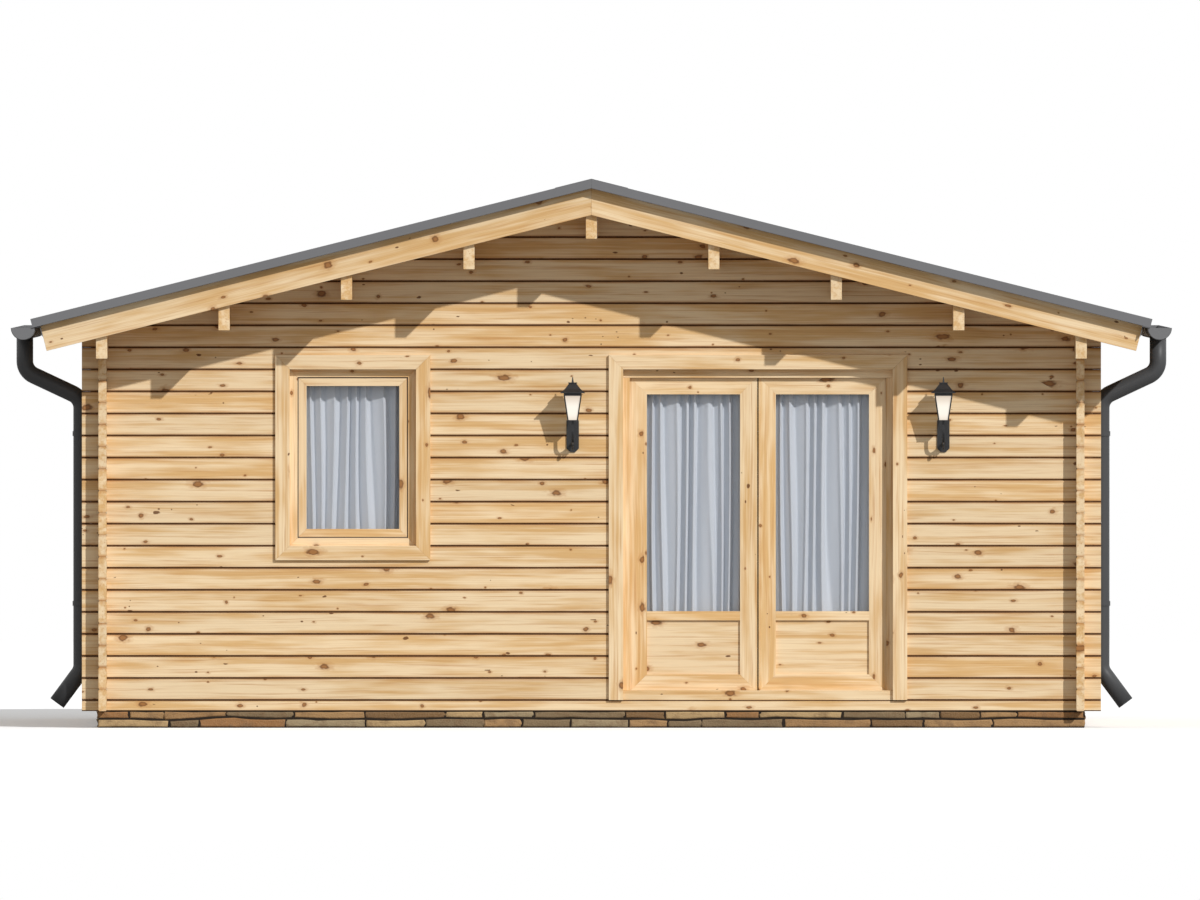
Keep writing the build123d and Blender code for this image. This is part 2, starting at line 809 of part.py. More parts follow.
def lantern_bracket():
    """A wall plate with clipped lower corners and a square bar curving up to the lantern."""
    shape = Rectangle(plate_width, plate_height)
    shape = chamfer(shape.vertices().sort_by(Axis.Y)[:2], plate_chamfer)
    wall_face = lantern_reach - seat_gap
    middle = (0, wall_face, plate_bottom + plate_height / 2)
    plate = extrude(Plane(middle, x_dir=(1, 0, 0), z_dir=(0, -1, 0)) * shape, plate_thickness)
    start_y, start_z = wall_face - plate_thickness / 2, plate_bottom + arm_start
    corners = [(0, start_y, start_z), (0, 0, start_z), (0, 0, cage_bottom - cage_plate)]
    path = FilletPolyline(*corners, radius=arm_bend)
    bar = Plane(corners[0], x_dir=(1, 0, 0), z_dir=(0, -1, 0)) * Rectangle(arm_bar, arm_bar)
    return plate + sweep(bar, path)


def lantern():
    return lantern_head() + lantern_bracket()


def at_lantern(side, piece):
    return Pos(door_x + side * lantern_from_door, lantern_y, 0) * piece


def mirrored(pieces):
    return solids_of(*[mirror(piece, about=Plane.YZ) for piece in pieces])


# All pieces by name
front_logs = front_wall()
leaf = right_leaf()
hinges = right_frame_hinges()
parts = {
    "stone_plinth": stone_plinth(),
    "floor_joists": floor_joists(),
    "floor_boards": floor_boards(),
    "front_sill_log": solids_of(sill_log(-mid_y)),
    "front_gable": front_logs["over_openings"] + gable_rows(-mid_y),
    "back_wall": solids_of(sill_log(mid_y), *[wall_row(mid_y, row) for row in range(side_rows)]),
    "back_gable": gable_rows(mid_y),
    "left_wall": side_wall(-mid_x),
    "right_wall": side_wall(mid_x),
    "ridge_purlin": ridge_purlin(),
    "right_purlins": right_purlins(),
    "left_purlins": mirrored(right_purlins()),
    "right_roof_boards": right_roof_boards(),
    "left_roof_boards": mirrored(right_roof_boards()),
    "right_roof_panel": right_roof_panel(),
    "left_roof_panel": mirrored(right_roof_panel()),
    "ridge_cap": ridge_cap(),
    "front_barge_boards": barge_boards(-barge_front, -purlin_end),
    "back_barge_boards": barge_boards(purlin_end, barge_front),
    "eave_fascias": eave_fascias(),
    "right_gutter": right_gutter(),
    "left_gutter": mirrored(right_gutter()),
    "gutter_brackets": right_gutter_brackets() + mirrored(right_gutter_brackets()),
    "right_downpipe": right_downpipe(),
    "left_downpipe": mirrored(right_downpipe()),
    "pipe_clips": right_pipe_clips() + mirrored(right_pipe_clips()),
    "window_trim": window_trim(),
    "window_frame": window_frame(),
    "window_sash": window_sash(),
    "window_glass": window_glass(),
    "window_curtain_rod": window_curtain_rod(),
    "window_curtain": window_curtain(),
    "door_trim": door_trim(),
    "door_frame": door_frame(),
    "door_frame_hinges": on_door(hinges, 1) + on_door(hinges, -1),
}
for name in ("left", "under_window", "middle", "right"):
    parts["front_wall_" + name] = front_logs[name]
for name, side in (("left", -1), ("right", 1)):
    parts[name + "_door_leaf"] = on_door(leaf, side)
    parts[name + "_door_glass"] = on_door(right_pane(), side)
    parts[name + "_door_hinges"] = on_door(right_leaf_hinges(), side)
    parts[name + "_door_curtain_rod"] = on_door(right_door_rod(), side)
    parts[name + "_door_curtain"] = on_door(right_door_curtain(), side)
    parts[name + "_lantern"] = solids_of(at_lantern(side, lantern()))
    parts[name + "_lantern_glass"] = solids_of(at_lantern(side, lantern_glass()))

os.makedirs("parts", exist_ok=True)
for name, solids in parts.items():
    export_step(Compound(children=solids), "parts/" + name + ".step")
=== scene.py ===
"""Dresses the log cabin: planed pine, rubble stone, coated roofing, glass, cloth, lanterns and a stage."""

import math
import random

import bmesh
import bpy
import numpy as np
from bmesh.types import BMEdge, BMVert
from bpy.props import FloatProperty, FloatVectorProperty, PointerProperty
from mathutils import Matrix, Vector, noise


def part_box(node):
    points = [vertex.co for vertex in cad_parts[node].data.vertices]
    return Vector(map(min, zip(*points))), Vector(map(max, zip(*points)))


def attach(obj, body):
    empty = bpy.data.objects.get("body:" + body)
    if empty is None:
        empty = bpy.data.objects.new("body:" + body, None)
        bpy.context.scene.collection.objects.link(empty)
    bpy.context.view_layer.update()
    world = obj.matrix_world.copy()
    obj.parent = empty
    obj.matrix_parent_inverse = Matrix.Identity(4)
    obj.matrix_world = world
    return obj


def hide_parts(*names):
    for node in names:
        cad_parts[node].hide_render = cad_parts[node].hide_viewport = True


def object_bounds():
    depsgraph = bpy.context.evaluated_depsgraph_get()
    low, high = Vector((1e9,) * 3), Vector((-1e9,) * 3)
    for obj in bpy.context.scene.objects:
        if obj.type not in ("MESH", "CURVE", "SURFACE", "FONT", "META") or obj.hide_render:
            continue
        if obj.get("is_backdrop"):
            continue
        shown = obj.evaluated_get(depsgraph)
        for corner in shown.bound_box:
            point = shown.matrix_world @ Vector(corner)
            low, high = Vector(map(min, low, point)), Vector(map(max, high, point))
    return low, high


bl_info = {
    "name": "Log Cabin Dresser",
    "version": (1, 0, 0),
    "blender": (4, 5, 0),
    "location": "View3D > Sidebar > Cabin",
    "description": "Gives the log cabin its timber, stone, roofing, glass, curtains, lanterns and stage",
    "category": "Object",
}

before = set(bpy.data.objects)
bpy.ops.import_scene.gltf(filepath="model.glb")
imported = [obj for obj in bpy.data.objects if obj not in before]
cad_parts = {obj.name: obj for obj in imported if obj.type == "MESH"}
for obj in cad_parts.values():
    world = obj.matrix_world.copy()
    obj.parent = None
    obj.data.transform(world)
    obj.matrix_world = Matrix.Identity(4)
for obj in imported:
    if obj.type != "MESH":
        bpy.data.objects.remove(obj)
cad_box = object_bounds()

ALONG_X = Vector((1, 0, 0))
ALONG_Y = Vector((0, 1, 0))
UPWARDS = Vector((0, 0, 1))
SIDES = (("left", -1), ("right", 1))

# Meshing: what counts as one point, as touching a cut, as parallel, as one flat face and as a sharp edge.
WELD = 1e-5
TOUCH = 1e-6
PARALLEL = 0.985
FLAT = math.radians(0.5)
SHARP = math.radians(15)

# Timber. Knots and pin knots have a patch of the board that holds one at most, and a range of radii.
ROOF_PITCH = math.radians(14)
PLANK_SHRINKAGE = 0.004
CHAMFER_SLOPES = (0.4, 0.9)
RING_WIDTH = 0.0062
KNOT_PATCH, KNOT_RADII = (0.30, 0.062), (0.004, 0.018)
PIN_PATCH, PIN_RADII = (0.075, 0.040), (0.0025, 0.0100)

# Stones: the lower course's share of the height, the joint's waves, the gaps below and above, the dents.
BED_SHARE = 0.55
BED_WAVES = 3.3
FOOT_GAP, HEAD_GAP = 0.004, 0.003
HAMMER_MARKS = 23
STONE_TONES = (
    (0.38, 0.22, 0.095), (0.21, 0.145, 0.078), (0.31, 0.15, 0.055), (0.46, 0.31, 0.15),
    (0.20, 0.11, 0.045), (0.33, 0.25, 0.145), (0.34, 0.19, 0.080),
)
STONE_STAIN = (0.17, 0.095, 0.045)
STONE_BLOOM = (0.50, 0.38, 0.24)

# The right downpipe's bends below the gutter, as x and z; the left one mirrors them.
PIPE_LEGS = ((3.0597, 1.9241), (2.753, 1.7801), (2.753, 0.312), (2.886, 0.132))
PIPE_WALL = 0.003
PIPE_SIDES, BEND_STEPS = 36, 8

# Curtains: squares across and down, how pointed a pleat is, how far a fold sways and its cloth slips.
CLOTH_SQUARES = (240, 36)
PLEAT_POINT = 0.97
FOLD_SWAY, FOLD_SLIP = 0.022, 0.004

# The lantern scrolls: centre out from the wall and up, turns, inner and outer radius.
SCROLLS = (((0.052, 0.028), 1.6, (0.004, 0.022)), ((0.092, 0.044), -1.4, (0.003, 0.015)))
SCROLL_STEPS = 26

SUNRAYS = Vector((-0.394, 0.5, -0.394))
FLOOR_REACH = 40.0

# Coats of one colour: size of clouds and grain, spread of tone, roughness, bump, gloss and metal.
COATS = {
    # The joint coat is painted shade on the chamfers between the logs.
    "joint_pine": dict(cloud=0.09, grain=0.003, spread=0.45, rough=0.80, bump=0.0004, gloss=0.10),
    "mortar": dict(cloud=0.05, grain=0.004, spread=0.35, rough=0.90, bump=0.002, gloss=0.10),
    "roof_coat": dict(cloud=0.9, grain=0.0015, spread=0.07, rough=0.82, bump=0.00012, gloss=0.12),
    "gutter_coat": dict(cloud=0.4, grain=0.002, spread=0.12, rough=0.60, bump=0.0001, gloss=0.25),
    "pipe_coat": dict(cloud=0.4, grain=0.002, spread=0.12, rough=0.45, bump=0.0001, gloss=0.25),
    # The seal coat is painted shade on the strip round the sash.
    "seal_rubber": dict(cloud=0.05, grain=0.002, spread=0.20, rough=0.70, bump=0.0001),
    "lantern_paint": dict(cloud=0.02, grain=0.0012, spread=0.25, rough=0.45, bump=0.0002),
    "zinc_plating": dict(cloud=0.03, grain=0.0008, spread=0.08, rough=0.34, bump=0.00005, metal=1.0),
}

# The nodes that are planed, with the way their grain runs or the body that they ride on.
LOGS = {
    "front_sill_log": ALONG_X,
    "front_wall_left": ALONG_X,
    "front_wall_under_window": ALONG_X,
    "front_wall_middle": ALONG_X,
    "front_wall_right": ALONG_X,
    "front_gable": ALONG_X,
    "back_wall": ALONG_X,
    "back_gable": ALONG_X,
    "left_wall": ALONG_Y,
    "right_wall": ALONG_Y,
}
ROOF_TIMBERS = {
    "ridge_purlin": ALONG_Y,
    "left_purlins": ALONG_Y,
    "right_purlins": ALONG_Y,
    "eave_fascias": ALONG_Y,
    "front_barge_boards": None,
    "back_barge_boards": None,
}
JOINERY = {
    "window_trim": "cabin",
    "window_frame": "cabin",
    "window_sash": "cabin",
    "door_trim": "cabin",
    "door_frame": "cabin",
    "left_door_leaf": "left_door",
    "right_door_leaf": "right_door",
}


def colour(name, description, value):
    """A colour that the user may change."""
    return FloatVectorProperty(
        name=name, description=description, default=value, size=3, min=0.0, max=1.0, subtype="COLOR"
    )


def length(name, description, value):
    """A length that the user may change."""
    return FloatProperty(name=name, description=description, default=value, min=0.0, unit="LENGTH")


def amount(name, description, value):
    """A plain number that the user may change."""
    return FloatProperty(name=name, description=description, default=value, min=0.0)


class PineFinish(bpy.types.PropertyGroup):
    """Colours and sizes of the planed pine."""

    pale: colour("Pale wood", "Sapwood between the streaks", (0.85, 0.66, 0.415))
    honey: colour("Honey wood", "Darker bands along the grain", (0.67, 0.42, 0.18))
    streak: colour("Resin streak", "Orange wood around the knots", (0.47, 0.205, 0.06))
    # The joint colour is painted shade, laid on the chamfers between the logs.
    joint: colour("Joint", "Weathered chamfers between the logs", (0.13, 0.062, 0.026))
    knot: colour("Knot", "Dark heart of a knot", (0.125, 0.042, 0.010))
    log_edge: length("Log edge", "Rounding of the logs' edges", 0.0015)
    board_edge: length("Board edge", "Rounding of the joinery's edges", 0.0012)
    plank_width: length("Plank width", "Cover width of the floor and roof boards", 0.112)


class PlinthFinish(bpy.types.PropertyGroup):
    """Sizes and colours of the rubble stones."""

    shortest: length("Shortest stone", "Least length of a stone", 0.16)
    longest: length("Longest stone", "Greatest length of a stone", 0.50)
    joint: length("Joint", "Open joint between two stones", 0.008)
    skew: length("Skew", "How far a stone's corners stray from square", 0.004)
    facet: length("Facet", "Distance between the breaks in a stone's edges", 0.09)
    depth: length("Bed depth", "How far a stone goes into the plinth", 0.06)
    proud: length("Proud", "How far a stone stands out of the mortar", 0.004)
    blunt: length("Blunt edge", "Rounding of a stone's edges", 0.008)
    wave: length("Bed wave", "How far the joint between the courses rises and falls", 0.016)
    roughness: length("Hammering", "Unevenness of a stone's faces", 0.004)
    mortar: colour("Mortar", "Colour in the joints", (0.030, 0.022, 0.016))


class MetalFinish(bpy.types.PropertyGroup):
    """Colours of the roofing, the rainwater goods, the lanterns and the ironwork."""

    roof: colour("Roof coat", "Matt grey coat of the roof panels", (0.178, 0.178, 0.184))
    gutter: colour("Gutter coat", "Grey coat of the gutters", (0.170, 0.170, 0.174))
    pipe: colour("Pipe coat", "Black coat of the downpipes", (0.064, 0.065, 0.067))
    lantern: colour("Lantern paint", "Black paint of the lanterns", (0.018, 0.018, 0.019))
    steel: colour("Zinc", "Plated hinges and curtain rods", (0.55, 0.55, 0.57))
    sheet_edge: length("Sheet edge", "Rounding of the roofing's edges", 0.0008)
    forged_edge: length("Forged edge", "Rounding of the lanterns' edges", 0.0012)
    bend: length("Pipe bend", "Radius of the downpipes' bends", 0.085)
    scroll: length("Scroll bar", "Thickness of the scrolls under the lanterns", 0.004)


class GlassFinish(bpy.types.PropertyGroup):
    """The panes' painted reflection and the tints of the lamp glass."""

    # The pane colour, laid over what is behind by the pane cover, is a painted reflection.
    pane: colour("Pane tint", "Cool reflection of the sealed panes", (0.34, 0.40, 0.48))
    # The seal colour is painted shade: a dark strip where the gap between sash and frame lies in shade.
    seal: colour("Seal", "Dark weather seal round the sash", (0.06, 0.035, 0.022))
    seal_width: length("Seal width", "Width of the weather seal", 0.005)
    cover: amount("Pane cover", "How much the panes veil what is behind them", 0.10)
    glow: colour("Lamp glow", "Warm light of the lamp glass", (1.0, 0.93, 0.82))
    dusk: colour("Lamp edge", "Dimmer light at the top of the lamp glass", (0.78, 0.66, 0.54))


class CurtainFinish(bpy.types.PropertyGroup):
    """Folds of the gathered curtains."""

    cloth: colour("Cloth", "Sheer white cloth", (0.70, 0.73, 0.78))
    fold_width: length("Fold width", "Distance from fold to fold", 0.064)
    fold_depth: length("Fold depth", "Half the depth of a fold", 0.0222)
    weave: length("Weave", "Distance between two threads", 0.0016)


class StageFinish(bpy.types.PropertyGroup):
    """Light and camera."""

    sun: amount("Sun", "Strength of the sun", 2.9)
    sun_angle: FloatProperty(
        name="Sun width", description="Softness of the shadows", default=math.radians(0.9), subtype="ANGLE"
    )
    sky: amount("Sky", "Strength of the light from all around", 0.50)
    floor: colour("Floor", "Floor as the cabin sees it", (0.34, 0.34, 0.34))
    floor_seen: colour("Floor in view", "Floor as the camera sees it", (0.97, 0.97, 0.97))
    floor_lift: amount("Floor lift", "Glow that keeps the floor in view white", 0.12)
    distance: length("Camera distance", "Distance of the camera from the ridge", 220.0)
    eye_z: length("Eye height", "Height of the camera", 2.85)
    view_width: length("View width", "Width of the picture at the front wall", 6.476)
    view_x: length("View centre", "Middle of the picture", 0.0464)
    view_z: length("View height", "Height of the view", 1.4993)


class CabinFinish(bpy.types.PropertyGroup):
    """Everything that can be changed on the cabin."""

    pine: PointerProperty(type=PineFinish)
    plinth: PointerProperty(type=PlinthFinish)
    metal: PointerProperty(type=MetalFinish)
    glass: PointerProperty(type=GlassFinish)
    curtain: PointerProperty(type=CurtainFinish)
    stage: PointerProperty(type=StageFinish)


def put(tree, kind, inputs=None, **settings):
    """A new shader node, each input linked to a socket or given its value."""
    node = tree.nodes.new(kind)
    for name, value in settings.items():
        setattr(node, name, value)
    for key, value in (inputs or {}).items():
        if isinstance(value, bpy.types.NodeSocket):
            tree.links.new(value, node.inputs[key])
        else:
            node.inputs[key].default_value = value
    return node


def calc(tree, operation, *values):
    """The output of a Math node."""
    return put(tree, "ShaderNodeMath", dict(enumerate(values)), operation=operation).outputs[0]


def smooth_step(tree, value, low, high):
    """A soft step from 0 at low to 1 at high."""
    inputs = {"Value": value, "From Min": low, "From Max": high}
    return put(tree, "ShaderNodeMapRange", inputs, interpolation_type="SMOOTHSTEP").outputs[0]


def blend(tree, factor, first, second, mode="MIX"):
    """The output of a Mix node on two colours."""
    inputs = {0: factor, 6: first, 7: second}
    return put(tree, "ShaderNodeMix", inputs, data_type="RGBA", blend_type=mode).outputs[2]


def stretched_noise(tree, parts, scales, detail=2.0, rough=0.5):
    """Noise that is drawn out along some of its axes."""
    scaled = [calc(tree, "MULTIPLY", part, scale) for part, scale in zip(parts, scales)]
    vector = put(tree, "ShaderNodeCombineXYZ", dict(enumerate(scaled))).outputs[0]
    inputs = {"Vector": vector, "Scale": 1.0, "Detail": detail, "Roughness": rough}
    return put(tree, "ShaderNodeTexNoise", inputs).outputs["Fac"]


def new_group(name, inputs, outputs):
    """An empty shader node group with named sockets, and its input node."""
    group = bpy.data.node_groups.new(name, "ShaderNodeTree")
    for label, kind in inputs:
        group.interface.new_socket(label, in_out="INPUT", socket_type="NodeSocket" + kind)
    for label, kind in outputs:
        group.interface.new_socket(label, in_out="OUTPUT", socket_type="NodeSocket" + kind)
    return group, group.nodes.new("NodeGroupInput")


def scattered_knots(tree, parts, patch, share, radii):
    """Knots strewn over a board: distance from each one's heart in its own radius, and where knots are."""
    scaled = {axis: calc(tree, "DIVIDE", parts[axis], patch[axis]) for axis in (0, 1)}
    place = put(tree, "ShaderNodeCombineXYZ", scaled).outputs[0]
    cells = put(tree, "ShaderNodeTexVoronoi", {"Vector": place, "Scale": 1.0}, voronoi_dimensions="2D")
    away = put(tree, "ShaderNodeVectorMath", {0: place, 1: cells.outputs["Position"]}, operation="SUBTRACT")
    gap = put(tree, "ShaderNodeSeparateXYZ", {0: away.outputs[0]}).outputs
    chance = put(tree, "ShaderNodeSeparateColor", {0: cells.outputs["Color"]}).outputs
    wobble = stretched_noise(tree, parts, (38.0, 60.0, 20.0), detail=1.0)
    rarity = calc(tree, "POWER", chance[1], 2.5)
    size = calc(tree, "MULTIPLY_ADD", rarity, radii[1] - radii[0], radii[0])
    size = calc(tree, "MULTIPLY", size, calc(tree, "MULTIPLY_ADD", wobble, 1.3, 0.35))
    pull = calc(tree, "MULTIPLY_ADD", chance[2], 1.3, 1.0)
    along = calc(tree, "DIVIDE", calc(tree, "MULTIPLY", gap[0], patch[0]), pull)
    across = calc(tree, "MULTIPLY", gap[1], patch[1])
    square = calc(tree, "MULTIPLY_ADD", along, along, calc(tree, "MULTIPLY", across, across))
    return calc(tree, "DIVIDE", calc(tree, "SQRT", square), size), calc(tree, "LESS_THAN", chance[0], share)


def pine_group():
    """Pine seen along a board's own grain: patches, growth rings, fibres, knots, resin and painted shade
    along the logs' edges.
    """
    inputs = [("Grain", "Vector"), ("Tone", "Float"), ("Rise", "Float"), ("Knot Share", "Float")]
    inputs += [(name, "Color") for name in ("Pale", "Honey", "Streak", "Knot")]
    outputs = [("Color", "Color"), ("Roughness", "Float"), ("Height", "Float")]
    tree, given = new_group("pine grain", inputs, outputs)
    parts = list(put(tree, "ShaderNodeSeparateXYZ", {0: given.outputs["Grain"]}).outputs)
    along, across, depth = parts
    tone, rise = given.outputs["Tone"], given.outputs["Rise"]

    # Knots with resin round them, and pin knots that crowd together in places.
    core, there = scattered_knots(tree, parts, KNOT_PATCH, given.outputs["Knot Share"], KNOT_RADII)
    crowd = smooth_step(tree, stretched_noise(tree, parts, (3.2, 11.0, 11.0), detail=1.0), 0.63, 0.70)
    few = calc(tree, "MULTIPLY", crowd, given.outputs["Knot Share"])
    pin_core, pins = scattered_knots(tree, parts, PIN_PATCH, few, PIN_RADII)
    heart = calc(tree, "MULTIPLY", there, smooth_step(tree, core, 1.2, 0.68))
    heart = calc(tree, "MAXIMUM", heart, calc(tree, "MULTIPLY", pins, smooth_step(tree, pin_core, 1.15, 0.7)))
    resin = calc(tree, "MULTIPLY", there, smooth_step(tree, core, 2.6, 0.9))

    # Growth rings that wander along the trunk and bend round the knots.
    drift = stretched_noise(tree, parts, (1.1, 6.0, 6.0), detail=1.0)
    bent = calc(tree, "MULTIPLY_ADD", drift, 0.03, calc(tree, "MULTIPLY", resin, 0.004))
    side = calc(tree, "ADD", across, bent)
    radius = calc(tree, "SQRT", calc(tree, "MULTIPLY_ADD", side, side, calc(tree, "MULTIPLY", depth, depth)))
    ring = calc(tree, "SINE", calc(tree, "MULTIPLY", radius, 2 * math.pi / RING_WIDTH))
    late_wood = smooth_step(tree, ring, 0.1, 1.0)

    # Pale and honey wood, darker towards the top of a log and from board to board.
    bands = stretched_noise(tree, (along, side, depth), (0.9, 30.0, 30.0), detail=3.0, rough=0.55)
    patches = stretched_noise(tree, parts, (2.4, 15.0, 15.0))
    share = calc(tree, "MULTIPLY_ADD", bands, 0.5, calc(tree, "MULTIPLY", patches, 0.5))
    share = calc(tree, "MULTIPLY_ADD", calc(tree, "SUBTRACT", tone, 0.5), 0.12, share)
    share = calc(tree, "MULTIPLY_ADD", rise, 0.035, share)
    wood = blend(tree, smooth_step(tree, share, 0.40, 0.64), given.outputs["Pale"], given.outputs["Honey"])

    # Ring lines, clear and resinous veins, painted shade along the logs' upper and lower edges, and the
    # hearts of the knots.
    lines = calc(tree, "MULTIPLY", late_wood, calc(tree, "MULTIPLY_ADD", bands, 0.5, 0.05))
    wood = blend(tree, calc(tree, "MULTIPLY", lines, 0.42), wood, given.outputs["Streak"])
    vein = stretched_noise(tree, (along, side, depth), (1.8, 95.0, 95.0), detail=3.0, rough=0.65)
    clear = calc(tree, "MULTIPLY", smooth_step(tree, vein, 0.46, 0.30), 0.5)
    wood = blend(tree, clear, wood, given.outputs["Pale"])
    vein = calc(tree, "MULTIPLY", smooth_step(tree, vein, 0.52, 0.74), 0.55)
    stain = calc(tree, "MAXIMUM", vein, calc(tree, "MULTIPLY", resin, 0.42))
    wood = blend(tree, stain, wood, given.outputs["Streak"])
    # Patchy painted shade near the top and bottom edges of each log, beside the joints.
    patchy = smooth_step(tree, stretched_noise(tree, parts, (3.0, 4.0, 4.0)), 0.34, 0.66)
    edge_shade = smooth_step(tree, calc(tree, "ABSOLUTE", rise), 0.70, 0.98)
    edge_shade = calc(tree, "MULTIPLY", edge_shade, calc(tree, "MULTIPLY_ADD", patchy, 0.6, 0.25))
    wood = blend(tree, edge_shade, wood, given.outputs["Streak"])
    ember = blend(tree, 0.45, given.outputs["Streak"], given.outputs["Knot"])
    ember = blend(tree, smooth_step(tree, core, 0.35, 0.9), ember, given.outputs["Knot"])
    wood = blend(tree, calc(tree, "MULTIPLY", heart, 0.9), wood, ember)

    # The fine shade, roughness and height of the fibres.
    fibre = stretched_noise(tree, parts, (9.0, 420.0, 420.0), rough=0.6)
    shade = calc(tree, "MULTIPLY_ADD", tone, 0.12, calc(tree, "MULTIPLY_ADD", fibre, 0.16, 0.86))
    grey = put(tree, "ShaderNodeCombineColor", {0: shade, 1: shade, 2: shade}).outputs[0]
    wood = blend(tree, 1.0, wood, grey, "MULTIPLY")
    rough = calc(tree, "MULTIPLY_ADD", fibre, 0.16, calc(tree, "MULTIPLY_ADD", heart, -0.1, 0.56))
    height = calc(tree, "MULTIPLY_ADD", late_wood, 0.35, calc(tree, "MULTIPLY_ADD", fibre, 0.4, heart))
    put(tree, "NodeGroupOutput", {"Color": wood, "Roughness": rough, "Height": height})
    return tree


def mottle_group():
    """Soft clouds with a finer grain, for stone, coats and plating."""
    inputs = [("Vector", "Vector"), ("Cloud Size", "Float"), ("Grain Size", "Float")]
    tree, given = new_group("mottle", inputs, [("Cloud", "Float"), ("Grain", "Float")])
    made = {}
    for name in ("Cloud", "Grain"):
        scale = calc(tree, "DIVIDE", 1.0, given.outputs[name + " Size"])
        clouds = {"Vector": given.outputs["Vector"], "Scale": scale, "Detail": 3.0}
        made[name] = put(tree, "ShaderNodeTexNoise", clouds).outputs["Fac"]
    put(tree, "NodeGroupOutput", made)
    return tree


def shared_group(tree, name, build, inputs):
    """The outputs of the named node group, which is built the first time that it is asked for."""
    group = bpy.data.node_groups.get(name) or build()
    return put(tree, "ShaderNodeGroup", inputs, node_tree=group).outputs


def mottle(tree, cloud, grain):
    """Clouds and grain of the given sizes, fixed to the piece."""
    place = put(tree, "ShaderNodeTexCoord").outputs["Object"]
    inputs = {"Vector": place, "Cloud Size": cloud, "Grain Size": grain}
    return shared_group(tree, "mottle", mottle_group, inputs)


def opaque(rgb):
    """A colour with full alpha."""
    return (*rgb, 1.0)


def socket_name(word):
    """A shader socket's name from its plain word."""
    return word.replace("_", " ").title().replace("Ior", "IOR")


def new_material(name, **plain):
    """An empty node material with a Principled shader whose plain values are set on its sockets."""
    material = bpy.data.materials.new(name)
    material.use_nodes = True
    shader = material.node_tree.nodes["Principled BSDF"]
    for word, value in plain.items():
        shader.inputs[socket_name(word)].default_value = value
    return material, material.node_tree, shader


def feed(tree, shader, **sockets):
    """Links what changes over the surface to the shader's sockets."""
    for word, socket in sockets.items():
        tree.links.new(socket, shader.inputs[socket_name(word)])


def add_bump(tree, shader, height, distance):
    """Raises the surface by a height that is measured in the given distance."""
    bump = put(tree, "ShaderNodeBump", {"Height": height, "Distance": distance, "Strength": 1.0})
    feed(tree, shader, normal=bump.outputs["Normal"])


def pine_material(name, finish, knot_share, lift=1.0):
    """Planed pine that follows each board's grain."""
    material, tree, shader = new_material(name, specular_ior_level=0.2)
    grain = put(tree, "ShaderNodeAttribute", attribute_name="grain").outputs["Vector"]
    inputs = {"Grain": grain, "Knot Share": knot_share}
    for label in ("Tone", "Rise"):
        inputs[label] = put(tree, "ShaderNodeAttribute", attribute_name=label.lower()).outputs["Fac"]
    for label in ("Pale", "Honey", "Streak", "Knot"):
        inputs[label] = opaque([min(1.0, lift * part) for part in getattr(finish, label.lower())])
    wood = shared_group(tree, "pine grain", pine_group, inputs)
    feed(tree, shader, base_color=wood["Color"], roughness=wood["Roughness"])
    add_bump(tree, shader, wood["Height"], 0.0004)
    return material


def coat_material(name, rgb):
    """One colour broken by soft clouds and a fine grain, as the coat's own values say."""
    coat = COATS[name]
    plain = {"specular_ior_level": coat.get("gloss", 0.5), "metallic": coat.get("metal", 0.0)}
    material, tree, shader = new_material(name, **plain)
    mottled = mottle(tree, coat["cloud"], coat["grain"])
    dark = opaque([part * (1 - coat["spread"]) for part in rgb])
    light = opaque([min(1.0, part * (1 + coat["spread"])) for part in rgb])
    tone = blend(tree, mottled["Cloud"], dark, light)
    rough = calc(tree, "MULTIPLY_ADD", mottled["Grain"], 0.18, coat["rough"] - 0.09)
    feed(tree, shader, base_color=tone, roughness=rough)
    add_bump(tree, shader, mottled["Grain"], coat["bump"])
    return material


def paint_node(node, material):
    """Gives a CAD node a better material without touching its mesh."""
    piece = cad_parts[node]
    if not piece.material_slots:
        piece.data.materials.append(material)
    for slot in piece.material_slots:
        slot.material = material


def add_piece(name, shape, material, slot, body, *replaced):
    """Turns a bmesh into a piece that rides on a body, and hides the CAD nodes that it stands for."""
    mesh = bpy.data.meshes.new(name)
    shape.to_mesh(mesh)
    shape.free()
    mesh.materials.append(material)
    piece = bpy.data.objects.new(name, mesh)
    bpy.context.scene.collection.objects.link(piece)
    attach(piece, body)
    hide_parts(*replaced)
    return piece


def node_copy(node):
    """A CAD node's solids as a clean bmesh with whole faces."""
    shape = bmesh.new()
    shape.from_mesh(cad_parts[node].data)
    bmesh.ops.remove_doubles(shape, verts=shape.verts, dist=WELD)
    bmesh.ops.dissolve_limit(
        shape, angle_limit=FLAT, verts=shape.verts, edges=shape.edges, delimit={"NORMAL"}
    )
    return shape


def picked(geom, kind):
    """The vertices or edges among the parts that an operator gives back."""
    return [part for part in geom if isinstance(part, kind)]


def round_edges(shape, radius, segments=2, edges=None):
    """Rounds the sharp edges and leaves the wide faces flat."""
    sharp = [
        edge
        for edge in (shape.edges if edges is None else edges)
        if edge.is_manifold and edge.calc_face_angle() > SHARP
    ]
    made = bmesh.ops.bevel(
        shape,
        geom=sharp,
        offset=radius,
        offset_type="OFFSET",
        segments=segments,
        profile=0.5,
        affect="EDGES",
        clamp_overlap=True,
        material=-1,
    )
    for face in made["faces"]:
        face.smooth = True
    bmesh.ops.dissolve_degenerate(shape, dist=WELD, edges=shape.edges)


def add_block(shape, place, size):
    """A squared block in a bmesh."""
    grid = Matrix.Translation(place) @ Matrix.Diagonal((*size, 1))
    return bmesh.ops.create_cube(shape, size=1.0, matrix=grid)["verts"]


def islands(shape):
    """The separate solids of a bmesh, each as its list of vertices."""
    waiting = dict.fromkeys(shape.verts)
    while waiting:
        start = next(iter(waiting))
        del waiting[start]
        group, front = [start], [start]
        while front:
            for edge in front.pop().link_edges:
                for vert in edge.verts:
                    if vert in waiting:
                        del waiting[vert]
                        group.append(vert)
                        front.append(vert)
        yield group


